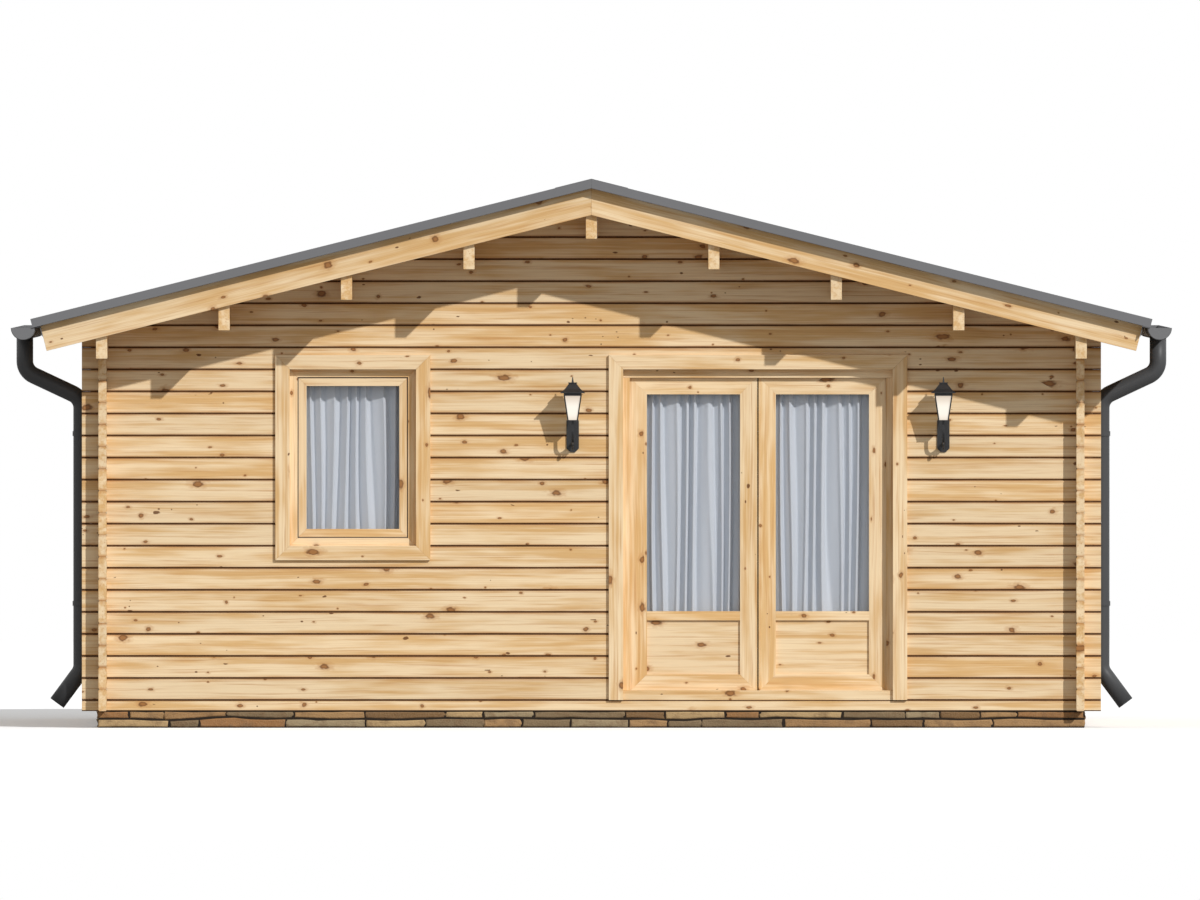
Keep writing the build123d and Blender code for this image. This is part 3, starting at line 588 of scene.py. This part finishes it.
def board_axes(points, along, face):
    """A board's directions along its grain, across its width and through its thickness."""
    spread = points - points.mean(axis=0)
    if along is None:
        along = Vector(np.linalg.eigh(spread.T @ spread)[1][:, 2])
        for axis in (ALONG_X, ALONG_Y, UPWARDS):
            if abs(along.dot(axis)) > PARALLEL:
                along = axis
    across = face.cross(along).normalized()
    return along, across, along.cross(across)


def mark_grain(shape, along, face, node):
    """Stores every board's own grain coordinates and tone; face is where its broad side looks."""
    dice = random.Random(node)
    grain = shape.verts.layers.float_vector.new("grain")
    tone = shape.verts.layers.float.new("tone")
    rise = shape.verts.layers.float.new("rise")
    for group in islands(shape):
        points = np.array([vert.co for vert in group])
        centre = Vector(points.mean(axis=0))
        low, high = points[:, 2].min(), points[:, 2].max()
        axes = board_axes(points, along, face)
        # Where in the trunk the board was sawn: how far up it, and how far from the pith.
        sawn = Vector((dice.uniform(0, 60), dice.uniform(-0.07, 0.07), dice.uniform(0.03, 0.09)))
        value = dice.random()
        for vert in group:
            vert[grain] = sawn + Vector([(vert.co - centre).dot(axis) for axis in axes])
            vert[tone] = value
            vert[rise] = 2 * (vert.co.z - low) / (high - low) - 1 if node in LOGS else 0


def timber(node, material, slot, body, along, face, radius):
    """A planed copy of a CAD node's boards with rounded edges."""
    shape = node_copy(node)
    round_edges(shape, radius)
    mark_grain(shape, along, face, node)
    add_piece(node + "_planed", shape, material, slot, body, node)


def log_timber(node, materials, along, radius):
    """A planed copy of a node's logs, the chamfers of their joints coloured dark as painted shade."""
    shape = node_copy(node)
    # The chamfers, up-facing and down-facing alike, get the joint coat: painted shade between the logs.
    for face in shape.faces:
        slanted = CHAMFER_SLOPES[0] < abs(face.normal.z) < CHAMFER_SLOPES[1]
        face.material_index = 1 if slanted else 0
    round_edges(shape, radius)
    mark_grain(shape, along, along.cross(UPWARDS), node)
    piece = add_piece(node + "_planed", shape, materials[0], "log_pine", "cabin", node)
    piece.data.materials.append(materials[1])


def planks(node, material, slot, along, across, width, radius):
    """A CAD deck sawn into planks whose edges meet in small grooves."""
    shape = node_copy(node)
    low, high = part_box(node)
    count = round((high - low).dot(across) / width)
    step = (high - low).dot(across) / count
    for index in range(1, count):
        geom = [*shape.verts, *shape.edges, *shape.faces]
        place = low + across * step * index
        cut = bmesh.ops.bisect_plane(shape, geom=geom, dist=TOUCH, plane_co=place, plane_no=across)
        bmesh.ops.split_edges(shape, edges=picked(cut["geom_cut"], BMEdge))
        bmesh.ops.holes_fill(shape, edges=[edge for edge in shape.edges if edge.is_boundary])
    bmesh.ops.recalc_face_normals(shape, faces=shape.faces)
    for plank in islands(shape):
        middle = sum(vert.co.dot(across) for vert in plank) / len(plank)
        for vert in plank:
            vert.co += across * (middle - vert.co.dot(across)) * PLANK_SHRINKAGE
    round_edges(shape, radius, 1)
    mark_grain(shape, along, along.cross(across), node)
    add_piece(node + "_planks", shape, material, slot, "cabin", node)


class CABIN_OT_logs(bpy.types.Operator):
    """Planes the logs of the walls and gables"""

    bl_idname = "cabin.logs"
    bl_label = "Logs"

    def execute(self, context):
        finish = context.scene.cabin.pine
        pine = pine_material("wall_pine", finish, knot_share=0.42)
        joint = coat_material("joint_pine", finish.joint)
        for node, along in LOGS.items():
            log_timber(node, (pine, joint), along, finish.log_edge)
        return {"FINISHED"}


class CABIN_OT_roof_timber(bpy.types.Operator):
    """Planes the purlins, barge boards and fascias, and saws the roof boards"""

    bl_idname = "cabin.roof_timber"
    bl_label = "Roof timber"

    def execute(self, context):
        finish = context.scene.cabin.pine
        pine = pine_material("roof_pine", finish, knot_share=0.34)
        for node, along in ROOF_TIMBERS.items():
            face = ALONG_X if along else ALONG_Y
            timber(node, pine, "roof_pine", "cabin", along, face, finish.board_edge)
        for side, sign in SIDES:
            down = Vector((sign * math.cos(ROOF_PITCH), 0, -math.sin(ROOF_PITCH)))
            node = side + "_roof_boards"
            planks(node, pine, "roof_pine", down, ALONG_Y, finish.plank_width, 2 * finish.board_edge)
        return {"FINISHED"}


class CABIN_OT_floor(bpy.types.Operator):
    """Saws the floor boards and planes their joists"""

    bl_idname = "cabin.floor"
    bl_label = "Floor"

    def execute(self, context):
        finish = context.scene.cabin.pine
        pine = pine_material("floor_pine", finish, knot_share=0.38, lift=0.9)
        timber("floor_joists", pine, "floor_pine", "cabin", ALONG_Y, ALONG_X, finish.board_edge)
        planks("floor_boards", pine, "floor_pine", ALONG_X, ALONG_Y, finish.plank_width, finish.board_edge)
        return {"FINISHED"}


class CABIN_OT_joinery(bpy.types.Operator):
    """Planes the trims, frames, sash and door leaves"""

    bl_idname = "cabin.joinery"
    bl_label = "Joinery"

    def execute(self, context):
        finish = context.scene.cabin.pine
        pine = pine_material("joinery_pine", finish, knot_share=0.34, lift=1.04)
        for node, body in JOINERY.items():
            timber(node, pine, "joinery_pine", body, None, ALONG_Y, finish.board_edge)
        return {"FINISHED"}


def lay_stone(shape, run, span, levels, finish, dice, tint):
    """One stone of a run: a block drawn to its wavy bed joints, its edges blunt and its face hammered."""
    along, outward, wall = run
    before = set(shape.verts)
    verts = add_block(shape, (0, 0, 0), (1, 1, 1))
    breaks = max(2, round((span[1] - span[0]) / finish.facet))
    planes = [ALONG_X * (index / breaks - 0.5) for index in range(1, breaks)]
    for place, normal in [(plane, ALONG_X) for plane in planes] + [(Vector(), UPWARDS)]:
        block = dict.fromkeys(part for vert in verts for part in (vert, *vert.link_edges, *vert.link_faces))
        cut = bmesh.ops.bisect_plane(shape, geom=list(block), dist=TOUCH, plane_co=place, plane_no=normal)
        verts += picked(cut["geom_cut"], BMVert)
    outer = [vert for vert in verts if vert.co.y < 0]
    for vert in verts:
        ahead, inward, up = vert.co + Vector((0.5, 0.5, 0.5))
        at = span[0] + ahead * (span[1] - span[0]) + dice.uniform(-finish.skew, finish.skew)
        low, high = levels(at)
        vert.co = wall + along * at + UPWARDS * (low + up * (high - low))
        vert.co += outward * (finish.proud - finish.depth * inward)
    rim = dict.fromkeys(edge for vert in outer for edge in vert.link_edges)
    round_edges(shape, finish.blunt, 2, [edge for edge in rim if all(vert in outer for vert in edge.verts)])
    value = dice.random()
    drift = Vector([dice.uniform(0, 90) for _ in range(3)])
    for vert in shape.verts:
        if vert not in before:
            vert[tint] = value
            vert.co += noise.noise_vector(vert.co * HAMMER_MARKS + drift) * finish.roughness


class CABIN_OT_plinth(bpy.types.Operator):
    """Lays two courses of rubble stone round the plinth"""

    bl_idname = "cabin.plinth"
    bl_label = "Plinth"

    def execute(self, context):
        noise.seed_set(1)  # so that the dents come out the same each time
        finish = context.scene.cabin.plinth
        low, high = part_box("stone_plinth")
        wide = (low.x - finish.proud, high.x + finish.proud)
        deep = (low.y + finish.depth, high.y - finish.depth)
        runs = {
            "front": ((ALONG_X, -ALONG_Y, Vector((0, low.y, 0))), wide),
            "back": ((ALONG_X, ALONG_Y, Vector((0, high.y, 0))), wide),
            "left": ((ALONG_Y, -ALONG_X, Vector((low.x, 0, 0))), deep),
            "right": ((ALONG_Y, ALONG_X, Vector((high.x, 0, 0))), deep),
        }
        paint_node("stone_plinth", coat_material("mortar", finish.mortar))
        stone = self.stone_material()
        for name, (run, reach) in runs.items():
            shape = self.lay_run(name, run, reach, high.z, finish)
            add_piece(name + "_plinth_stones", shape, stone, "stone", "cabin")
        return {"FINISHED"}

    def lay_run(self, name, run, reach, top, finish):
        """Both courses of one side, which meet in a wavy bed joint."""
        dice = random.Random("stones of the " + name)
        drift = dice.uniform(0, 90)
        gap = finish.joint / 2
        shape = bmesh.new()
        tint = shape.verts.layers.float.new("tint")

        def bed(at):
            return BED_SHARE * top + finish.wave * noise.noise(Vector((BED_WAVES * at, drift, 0)))

        def lower_course(at):
            return FOOT_GAP, bed(at) - gap

        def upper_course(at):
            return bed(at) + gap, top - HEAD_GAP

        for levels in (lower_course, upper_course):
            at, end = reach
            while at < end - finish.shortest / 2:
                wide = dice.uniform(finish.shortest, finish.longest)
                wide = end - at if end - at - wide < finish.shortest else wide
                lay_stone(shape, run, (at + gap, at + wide - gap), levels, finish, dice, tint)
                at += wide
        bmesh.ops.recalc_face_normals(shape, faces=shape.faces)
        return shape

    def stone_material(self):
        """Sandstone, slate and rust-brown stones, each with its own tone and clouds."""
        material, tree, shader = new_material("rubble_stone", specular_ior_level=0.2)
        tint = put(tree, "ShaderNodeAttribute", attribute_name="tint").outputs["Fac"]
        ramp = put(tree, "ShaderNodeValToRGB", {"Fac": tint})
        ramp.color_ramp.interpolation = "CONSTANT"
        stops = ramp.color_ramp.elements
        stops.remove(stops[-1])
        for index, tone in enumerate(STONE_TONES):
            stop = stops.new(index / len(STONE_TONES)) if index else stops[0]
            stop.color = opaque(tone)
        mottled = mottle(tree, cloud=0.045, grain=0.006)
        stained = calc(tree, "MULTIPLY", smooth_step(tree, mottled["Cloud"], 0.45, 0.72), 0.55)
        base = blend(tree, stained, ramp.outputs[0], opaque(STONE_STAIN))
        bloom = calc(tree, "MULTIPLY", smooth_step(tree, mottled["Grain"], 0.35, 0.75), 0.2)
        base = blend(tree, bloom, base, opaque(STONE_BLOOM))
        rough = calc(tree, "MULTIPLY_ADD", mottled["Grain"], 0.2, 0.72)
        feed(tree, shader, base_color=base, roughness=rough)
        height = calc(tree, "MULTIPLY_ADD", mottled["Cloud"], 1.5, mottled["Grain"])
        add_bump(tree, shader, height, 0.004)
        return material


class CABIN_OT_roofing(bpy.types.Operator):
    """Coats the roof panels and the ridge cap"""

    bl_idname = "cabin.roofing"
    bl_label = "Roofing"

    def execute(self, context):
        finish = context.scene.cabin.metal
        coat = coat_material("roof_coat", finish.roof)
        for node in ("left_roof_panel", "right_roof_panel", "ridge_cap"):
            shape = node_copy(node)
            round_edges(shape, finish.sheet_edge)
            add_piece(node + "_coated", shape, coat, "roof_grey", "cabin", node)
        return {"FINISHED"}


def bent_pipe(points, radius, bend):
    """A tube along straight legs that are joined by round bends."""
    shape = bmesh.new()
    bmesh.ops.create_circle(shape, segments=PIPE_SIDES, radius=radius)
    bmesh.ops.translate(shape, verts=shape.verts, vec=points[0])
    edges = list(shape.edges)
    used = 0.0
    for index, (start, end) in enumerate(zip(points, points[1:])):
        leg = end - start
        turn, trim = 0.0, 0.0
        if index + 2 < len(points):
            following = points[index + 2] - end
            turn = leg.angle(following)
            trim = bend * math.tan(turn / 2)
        made = bmesh.ops.extrude_edge_only(shape, edges=edges)["geom"]
        straight = leg.normalized() * (leg.length - used - trim)
        bmesh.ops.translate(shape, verts=picked(made, BMVert), vec=straight)
        edges = picked(made, BMEdge)
        if turn:
            axis = leg.cross(following).normalized()
            centre = end - leg.normalized() * trim + axis.cross(leg).normalized() * bend
            made = bmesh.ops.spin(
                shape, geom=edges, cent=centre, axis=axis, angle=turn, steps=BEND_STEPS, use_duplicate=False
            )["geom_last"]
            edges = picked(made, BMEdge)
        used = trim
    bmesh.ops.remove_doubles(shape, verts=shape.verts, dist=TOUCH)
    bmesh.ops.recalc_face_normals(shape, faces=shape.faces)
    bmesh.ops.solidify(shape, geom=list(shape.faces), thickness=PIPE_WALL)
    for face in shape.faces:
        face.smooth = True
    return shape


class CABIN_OT_rainwater(bpy.types.Operator):
    """Coats the gutters and bends the downpipes"""

    bl_idname = "cabin.rainwater"
    bl_label = "Rainwater goods"

    def execute(self, context):
        finish = context.scene.cabin.metal
        grey = coat_material("gutter_coat", finish.gutter)
        for node in ("left_gutter", "right_gutter", "gutter_brackets"):
            paint_node(node, grey)
        black = coat_material("pipe_coat", finish.pipe)
        paint_node("pipe_clips", black)
        for side, sign in SIDES:
            low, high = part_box(side + "_downpipe")
            y = (low.y + high.y) / 2
            legs = [(PIPE_LEGS[0][0], high.z), *PIPE_LEGS]
            points = [Vector((sign * x, y, z)) for x, z in legs]
            shape = bent_pipe(points, (high.y - low.y) / 2, finish.bend)
            add_piece(side + "_bent_pipe", shape, black, "rainwater_black", "cabin", side + "_downpipe")
        return {"FINISHED"}


class CABIN_OT_glazing(bpy.types.Operator):
    """Glazes the window, the doors and the lanterns"""

    bl_idname = "cabin.glazing"
    bl_label = "Glazing"

    def execute(self, context):
        finish = context.scene.cabin.glass
        pane = self.pane_material(finish)
        for node in ("window_glass", "left_door_glass", "right_door_glass"):
            paint_node(node, pane)
        self.add_shade_strip(finish)
        lamp = self.lamp_material(finish)
        for node in ("left_lantern_glass", "right_lantern_glass"):
            paint_node(node, lamp)
        return {"FINISHED"}

    def add_shade_strip(self, finish):
        """A dark strip round the edge of the sash, painted shade for the gap between sash and frame; its
        uprights are a hair short of its crosspieces.
        """
        low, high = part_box("window_sash")
        width, rise = finish.seal_width, 0.4 * finish.seal_width
        shape = bmesh.new()
        middle = (low + high) / 2
        upright = high.z - low.z - 2.1 * width
        for x in (low.x + width / 2, high.x - width / 2):
            add_block(shape, (x, low.y - rise / 2, middle.z), (width, rise, upright))
        for z in (low.z + width / 2, high.z - width / 2):
            add_block(shape, (middle.x, low.y - rise / 2, z), (high.x - low.x, rise, width))
        strip_coat = coat_material("seal_rubber", finish.seal)
        add_piece("window_seal", shape, strip_coat, "joinery_pine", "cabin")

    def pane_material(self, finish):
        """A sealed pane with the faint waviness of float glass, its cool colour a painted reflection that
        veils what is behind.
        """
        plain = {"roughness": 0.03, "alpha": finish.cover, "ior": 1.5}
        material, tree, shader = new_material("pane_glass", **plain)
        mottled = mottle(tree, cloud=0.6, grain=0.15)
        deep = opaque([0.85 * part for part in finish.pane])
        feed(tree, shader, base_color=blend(tree, mottled["Cloud"], deep, opaque(finish.pane)))
        add_bump(tree, shader, mottled["Grain"], 0.0004)
        return material

    def lamp_material(self, finish):
        """Frosted lamp glass, brightest beside the bulb."""
        material, tree, shader = new_material("lamp_glass", roughness=0.35, emission_strength=0.80)
        place = put(tree, "ShaderNodeTexCoord").outputs["Object"]
        height = put(tree, "ShaderNodeSeparateXYZ", {0: place}).outputs[2]
        low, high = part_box("left_lantern_glass")
        tall = high.z - low.z
        bulb = low.z + 0.4 * tall
        away = calc(tree, "ABSOLUTE", calc(tree, "SUBTRACT", height, bulb))
        near = smooth_step(tree, away, 0.6 * tall, 0.1 * tall)
        glow = blend(tree, near, opaque(finish.dusk), opaque(finish.glow))
        smoked = blend(tree, 0.75, glow, opaque((0, 0, 0)))
        feed(tree, shader, emission_color=glow, base_color=smoked)
        return material


class CABIN_OT_curtains(bpy.types.Operator):
    """Hangs a gathered curtain on each rod"""

    bl_idname = "cabin.curtains"
    bl_label = "Curtains"

    def execute(self, context):
        finish = context.scene.cabin.curtain
        cloth = self.cloth_material(finish)
        for name, body in (("window", "cabin"), ("left_door", "left_door"), ("right_door", "right_door")):
            shape = self.gathered(name, finish)
            area = sum(face.calc_area() for face in shape.faces)
            piece = add_piece(name + "_cloth", shape, cloth, "curtain", body, name + "_curtain")
        return {"FINISHED"}

    def gathered(self, name, finish):
        """A sheet that falls in uneven folds, tighter at the rod than at the hem."""
        low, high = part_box(name + "_curtain")
        size = high - low
        count = round(size.x / finish.fold_width)
        dice = random.Random("folds of the " + name)
        phases = [dice.uniform(0, 2 * math.pi) for _ in range(4)]
        shape = bmesh.new()
        bmesh.ops.create_grid(shape, x_segments=CLOTH_SQUARES[0], y_segments=CLOTH_SQUARES[1], size=0.5)
        weave = shape.loops.layers.uv.new("weave")
        for vert in shape.verts:
            across, fall = vert.co.x + 0.5, 0.5 - vert.co.y
            wander = math.sin(2 * math.pi * (2.1 * across + 0.35 * fall) + phases[0])
            sway = FOLD_SWAY * wander * (0.3 + fall)
            turn = 2 * math.pi * count * (across + sway) + 1.3 * math.sin(6 * math.pi * across + phases[1])
            turn += 0.55 * math.sin(turn)
            pleat = math.asin(PLEAT_POINT * math.sin(turn)) / math.asin(PLEAT_POINT)
            wave = pleat * (0.86 + 0.14 * math.sin(5.3 * math.pi * across + phases[2]))
            depth = finish.fold_depth * (0.88 + 0.12 * fall) * wave
            slip = FOLD_SLIP * math.sin(2 * turn + phases[3]) * (1 - abs(2 * across - 1))
            vert.co.x = low.x + across * size.x + slip
            vert.co.y = (low.y + high.y) / 2 + depth
            vert.co.z = high.z - fall * size.z
        for face in shape.faces:
            face.smooth = True
            for loop in face.loops:
                loop[weave].uv = (1.35 * loop.vert.co.x, loop.vert.co.z)
        return shape

    def cloth_material(self, finish):
        """Sheer cloth with a fine plain weave."""
        material, tree, shader = new_material("sheer_cloth", roughness=0.85, sheen_weight=0.2)
        place = put(tree, "ShaderNodeUVMap", uv_map="weave").outputs["UV"]
        parts = put(tree, "ShaderNodeSeparateXYZ", {0: place}).outputs
        threads = [
            calc(tree, "SINE", calc(tree, "MULTIPLY", part, 2 * math.pi / finish.weave)) for part in parts[:2]
        ]
        weave = calc(tree, "MULTIPLY", *threads)
        slub = stretched_noise(tree, parts, (240.0, 6.0, 1.0))
        shade = calc(tree, "MULTIPLY_ADD", weave, 0.03, calc(tree, "MULTIPLY_ADD", slub, 0.1, 0.92))
        grey = put(tree, "ShaderNodeCombineColor", {0: shade, 1: shade, 2: shade}).outputs[0]
        feed(tree, shader, base_color=blend(tree, 1.0, opaque(finish.cloth), grey, "MULTIPLY"))
        add_bump(tree, shader, weave, 0.0002)
        return material


def scroll_points(turns, start, end):
    """Points of a flat spiral that opens from one radius to another."""
    for step in range(SCROLL_STEPS + 1):
        share = step / SCROLL_STEPS
        radius = start + (end - start) * share
        angle = 2 * math.pi * turns * share
        yield radius * math.cos(angle), radius * math.sin(angle)


class CABIN_OT_lanterns(bpy.types.Operator):
    """Paints the lanterns and adds the scrolls under their arms"""

    bl_idname = "cabin.lanterns"
    bl_label = "Lanterns"

    def execute(self, context):
        finish = context.scene.cabin.metal
        paint = coat_material("lantern_paint", finish.lantern)
        for side in ("left", "right"):
            node = side + "_lantern"
            shape = node_copy(node)
            round_edges(shape, finish.forged_edge)
            add_piece(node + "_ironwork", shape, paint, "lantern_black", "cabin", node)
            self.add_scroll(side, finish.scroll, paint)
        return {"FINISHED"}

    def add_scroll(self, side, thickness, paint):
        """A forged double scroll that hangs below the arm."""
        low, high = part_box(side + "_lantern")
        x, wall = (low.x + high.x) / 2, high.y
        curve = bpy.data.curves.new(side + "_scroll_line", "CURVE")
        curve.dimensions = "3D"
        curve.bevel_depth = thickness
        curve.bevel_resolution = 2
        curve.use_fill_caps = True
        for centre, turns, radii in SCROLLS:
            points = list(scroll_points(turns, *radii))
            line = curve.splines.new("POLY")
            line.points.add(len(points) - 1)
            for point, (out, up) in zip(line.points, points):
                point.co = (x, wall - centre[0] - out, low.z + centre[1] + up, 1.0)
        holder = bpy.data.objects.new(side + "_scroll_holder", curve)
        bpy.context.scene.collection.objects.link(holder)
        bpy.context.view_layer.update()
        mesh = bpy.data.meshes.new_from_object(holder.evaluated_get(bpy.context.evaluated_depsgraph_get()))
        bpy.data.objects.remove(holder)
        shape = bmesh.new()
        shape.from_mesh(mesh)
        bpy.data.meshes.remove(mesh)
        add_piece(side + "_lantern_scroll", shape, paint, "lantern_black", "cabin")


class CABIN_OT_ironwork(bpy.types.Operator):
    """Plates the hinges and the curtain rods"""

    bl_idname = "cabin.ironwork"
    bl_label = "Ironwork"

    def execute(self, context):
        plating = coat_material("zinc_plating", context.scene.cabin.metal.steel)
        nodes = ["door_frame_hinges", "window_curtain_rod"]
        for side in ("left", "right"):
            nodes += [side + "_door_hinges", side + "_door_curtain_rod"]
        for node in nodes:
            paint_node(node, plating)
        return {"FINISHED"}


class CABIN_OT_stage(bpy.types.Operator):
    """Sets the floor, the sky, the sun and the camera"""

    bl_idname = "cabin.stage"
    bl_label = "Stage"

    def execute(self, context):
        finish = context.scene.cabin.stage
        self.add_floor(finish)
        self.add_sky(context.scene, finish)
        sun = bpy.data.lights.new("sun", "SUN")
        sun.energy = finish.sun
        sun.angle = finish.sun_angle
        lamp = bpy.data.objects.new("sun", sun)
        lamp.rotation_euler = SUNRAYS.to_track_quat("-Z", "Y").to_euler()
        context.scene.collection.objects.link(lamp)
        view = bpy.data.cameras.new("camera")
        eye = Vector((finish.view_x, -finish.distance, finish.eye_z))
        gaze = Vector((finish.view_x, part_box("front_sill_log")[0].y, finish.view_z)) - eye
        view.lens = view.sensor_width * gaze.length / finish.view_width
        view.clip_end = 3 * finish.distance
        camera = bpy.data.objects.new("camera", view)
        camera.location = eye
        camera.rotation_euler = gaze.to_track_quat("-Z", "Y").to_euler()
        context.scene.collection.objects.link(camera)
        context.scene.camera = camera
        context.scene.view_settings.view_transform = "Standard"
        return {"FINISHED"}

    def add_floor(self, finish):
        """A pale floor that looks white to the camera and keeps the shadow."""
        shape = bmesh.new()
        bmesh.ops.create_grid(shape, x_segments=1, y_segments=1, size=FLOOR_REACH)
        mesh = bpy.data.meshes.new("floor")
        shape.to_mesh(mesh)
        shape.free()
        plain = {"roughness": 0.95, "specular_ior_level": 0.0, "emission_strength": finish.floor_lift}
        material, tree, shader = new_material("floor", **plain)
        seen = put(tree, "ShaderNodeLightPath").outputs["Is Camera Ray"]
        tone = blend(tree, seen, opaque(finish.floor), opaque(finish.floor_seen))
        feed(tree, shader, base_color=tone, emission_color=seen)
        mesh.materials.append(material)
        floor = bpy.data.objects.new("floor", mesh)
        bpy.context.scene.collection.objects.link(floor)
        floor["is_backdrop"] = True

    def add_sky(self, scene, finish):
        """An even sky, white where it is seen directly, in gloss or through glass."""
        scene.world = bpy.data.worlds.new("sky")
        scene.world.use_nodes = True
        tree = scene.world.node_tree
        rays = put(tree, "ShaderNodeLightPath").outputs
        seen = calc(tree, "MAXIMUM", rays["Is Camera Ray"], rays["Is Glossy Ray"])
        seen = calc(tree, "MAXIMUM", seen, rays["Is Transmission Ray"])
        strength = calc(tree, "MULTIPLY_ADD", seen, 1.0 - finish.sky, finish.sky)
        sky = tree.nodes["Background"]
        sky.inputs["Color"].default_value = (1, 1, 1, 1)
        tree.links.new(strength, sky.inputs["Strength"])


STEPS = (
    CABIN_OT_logs,
    CABIN_OT_roof_timber,
    CABIN_OT_floor,
    CABIN_OT_joinery,
    CABIN_OT_plinth,
    CABIN_OT_roofing,
    CABIN_OT_rainwater,
    CABIN_OT_glazing,
    CABIN_OT_curtains,
    CABIN_OT_lanterns,
    CABIN_OT_ironwork,
    CABIN_OT_stage,
)


class CABIN_PT_finishes(bpy.types.Panel):
    """Lists the cabin's finishes and the steps that apply them"""

    bl_idname = "CABIN_PT_finishes"
    bl_label = "Log Cabin"
    bl_space_type = "VIEW_3D"
    bl_region_type = "UI"
    bl_category = "Cabin"

    def draw(self, context):
        for step in STEPS:
            self.layout.operator(step.bl_idname)
        cabin = context.scene.cabin
        for group in (cabin.pine, cabin.plinth, cabin.metal, cabin.glass, cabin.curtain, cabin.stage):
            box = self.layout.box()
            for name in group.__annotations__:
                box.prop(group, name)


CLASSES = (
    PineFinish,
    PlinthFinish,
    MetalFinish,
    GlassFinish,
    CurtainFinish,
    StageFinish,
    CabinFinish,
    *STEPS,
    CABIN_PT_finishes,
)


def register():
    for kind in CLASSES:
        bpy.utils.register_class(kind)
    bpy.types.Scene.cabin = PointerProperty(type=CabinFinish)


def unregister():
    del bpy.types.Scene.cabin
    for kind in reversed(CLASSES):
        bpy.utils.unregister_class(kind)


def main():
    register()
    for step in STEPS:
        group, name = step.bl_idname.split(".")
        getattr(getattr(bpy.ops, group), name)()
    boxes = {"cad": cad_box, "visual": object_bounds()}
    {name: [list(corner) for corner in box] for name, box in boxes.items()}


if __name__ == "__main__":
    main()
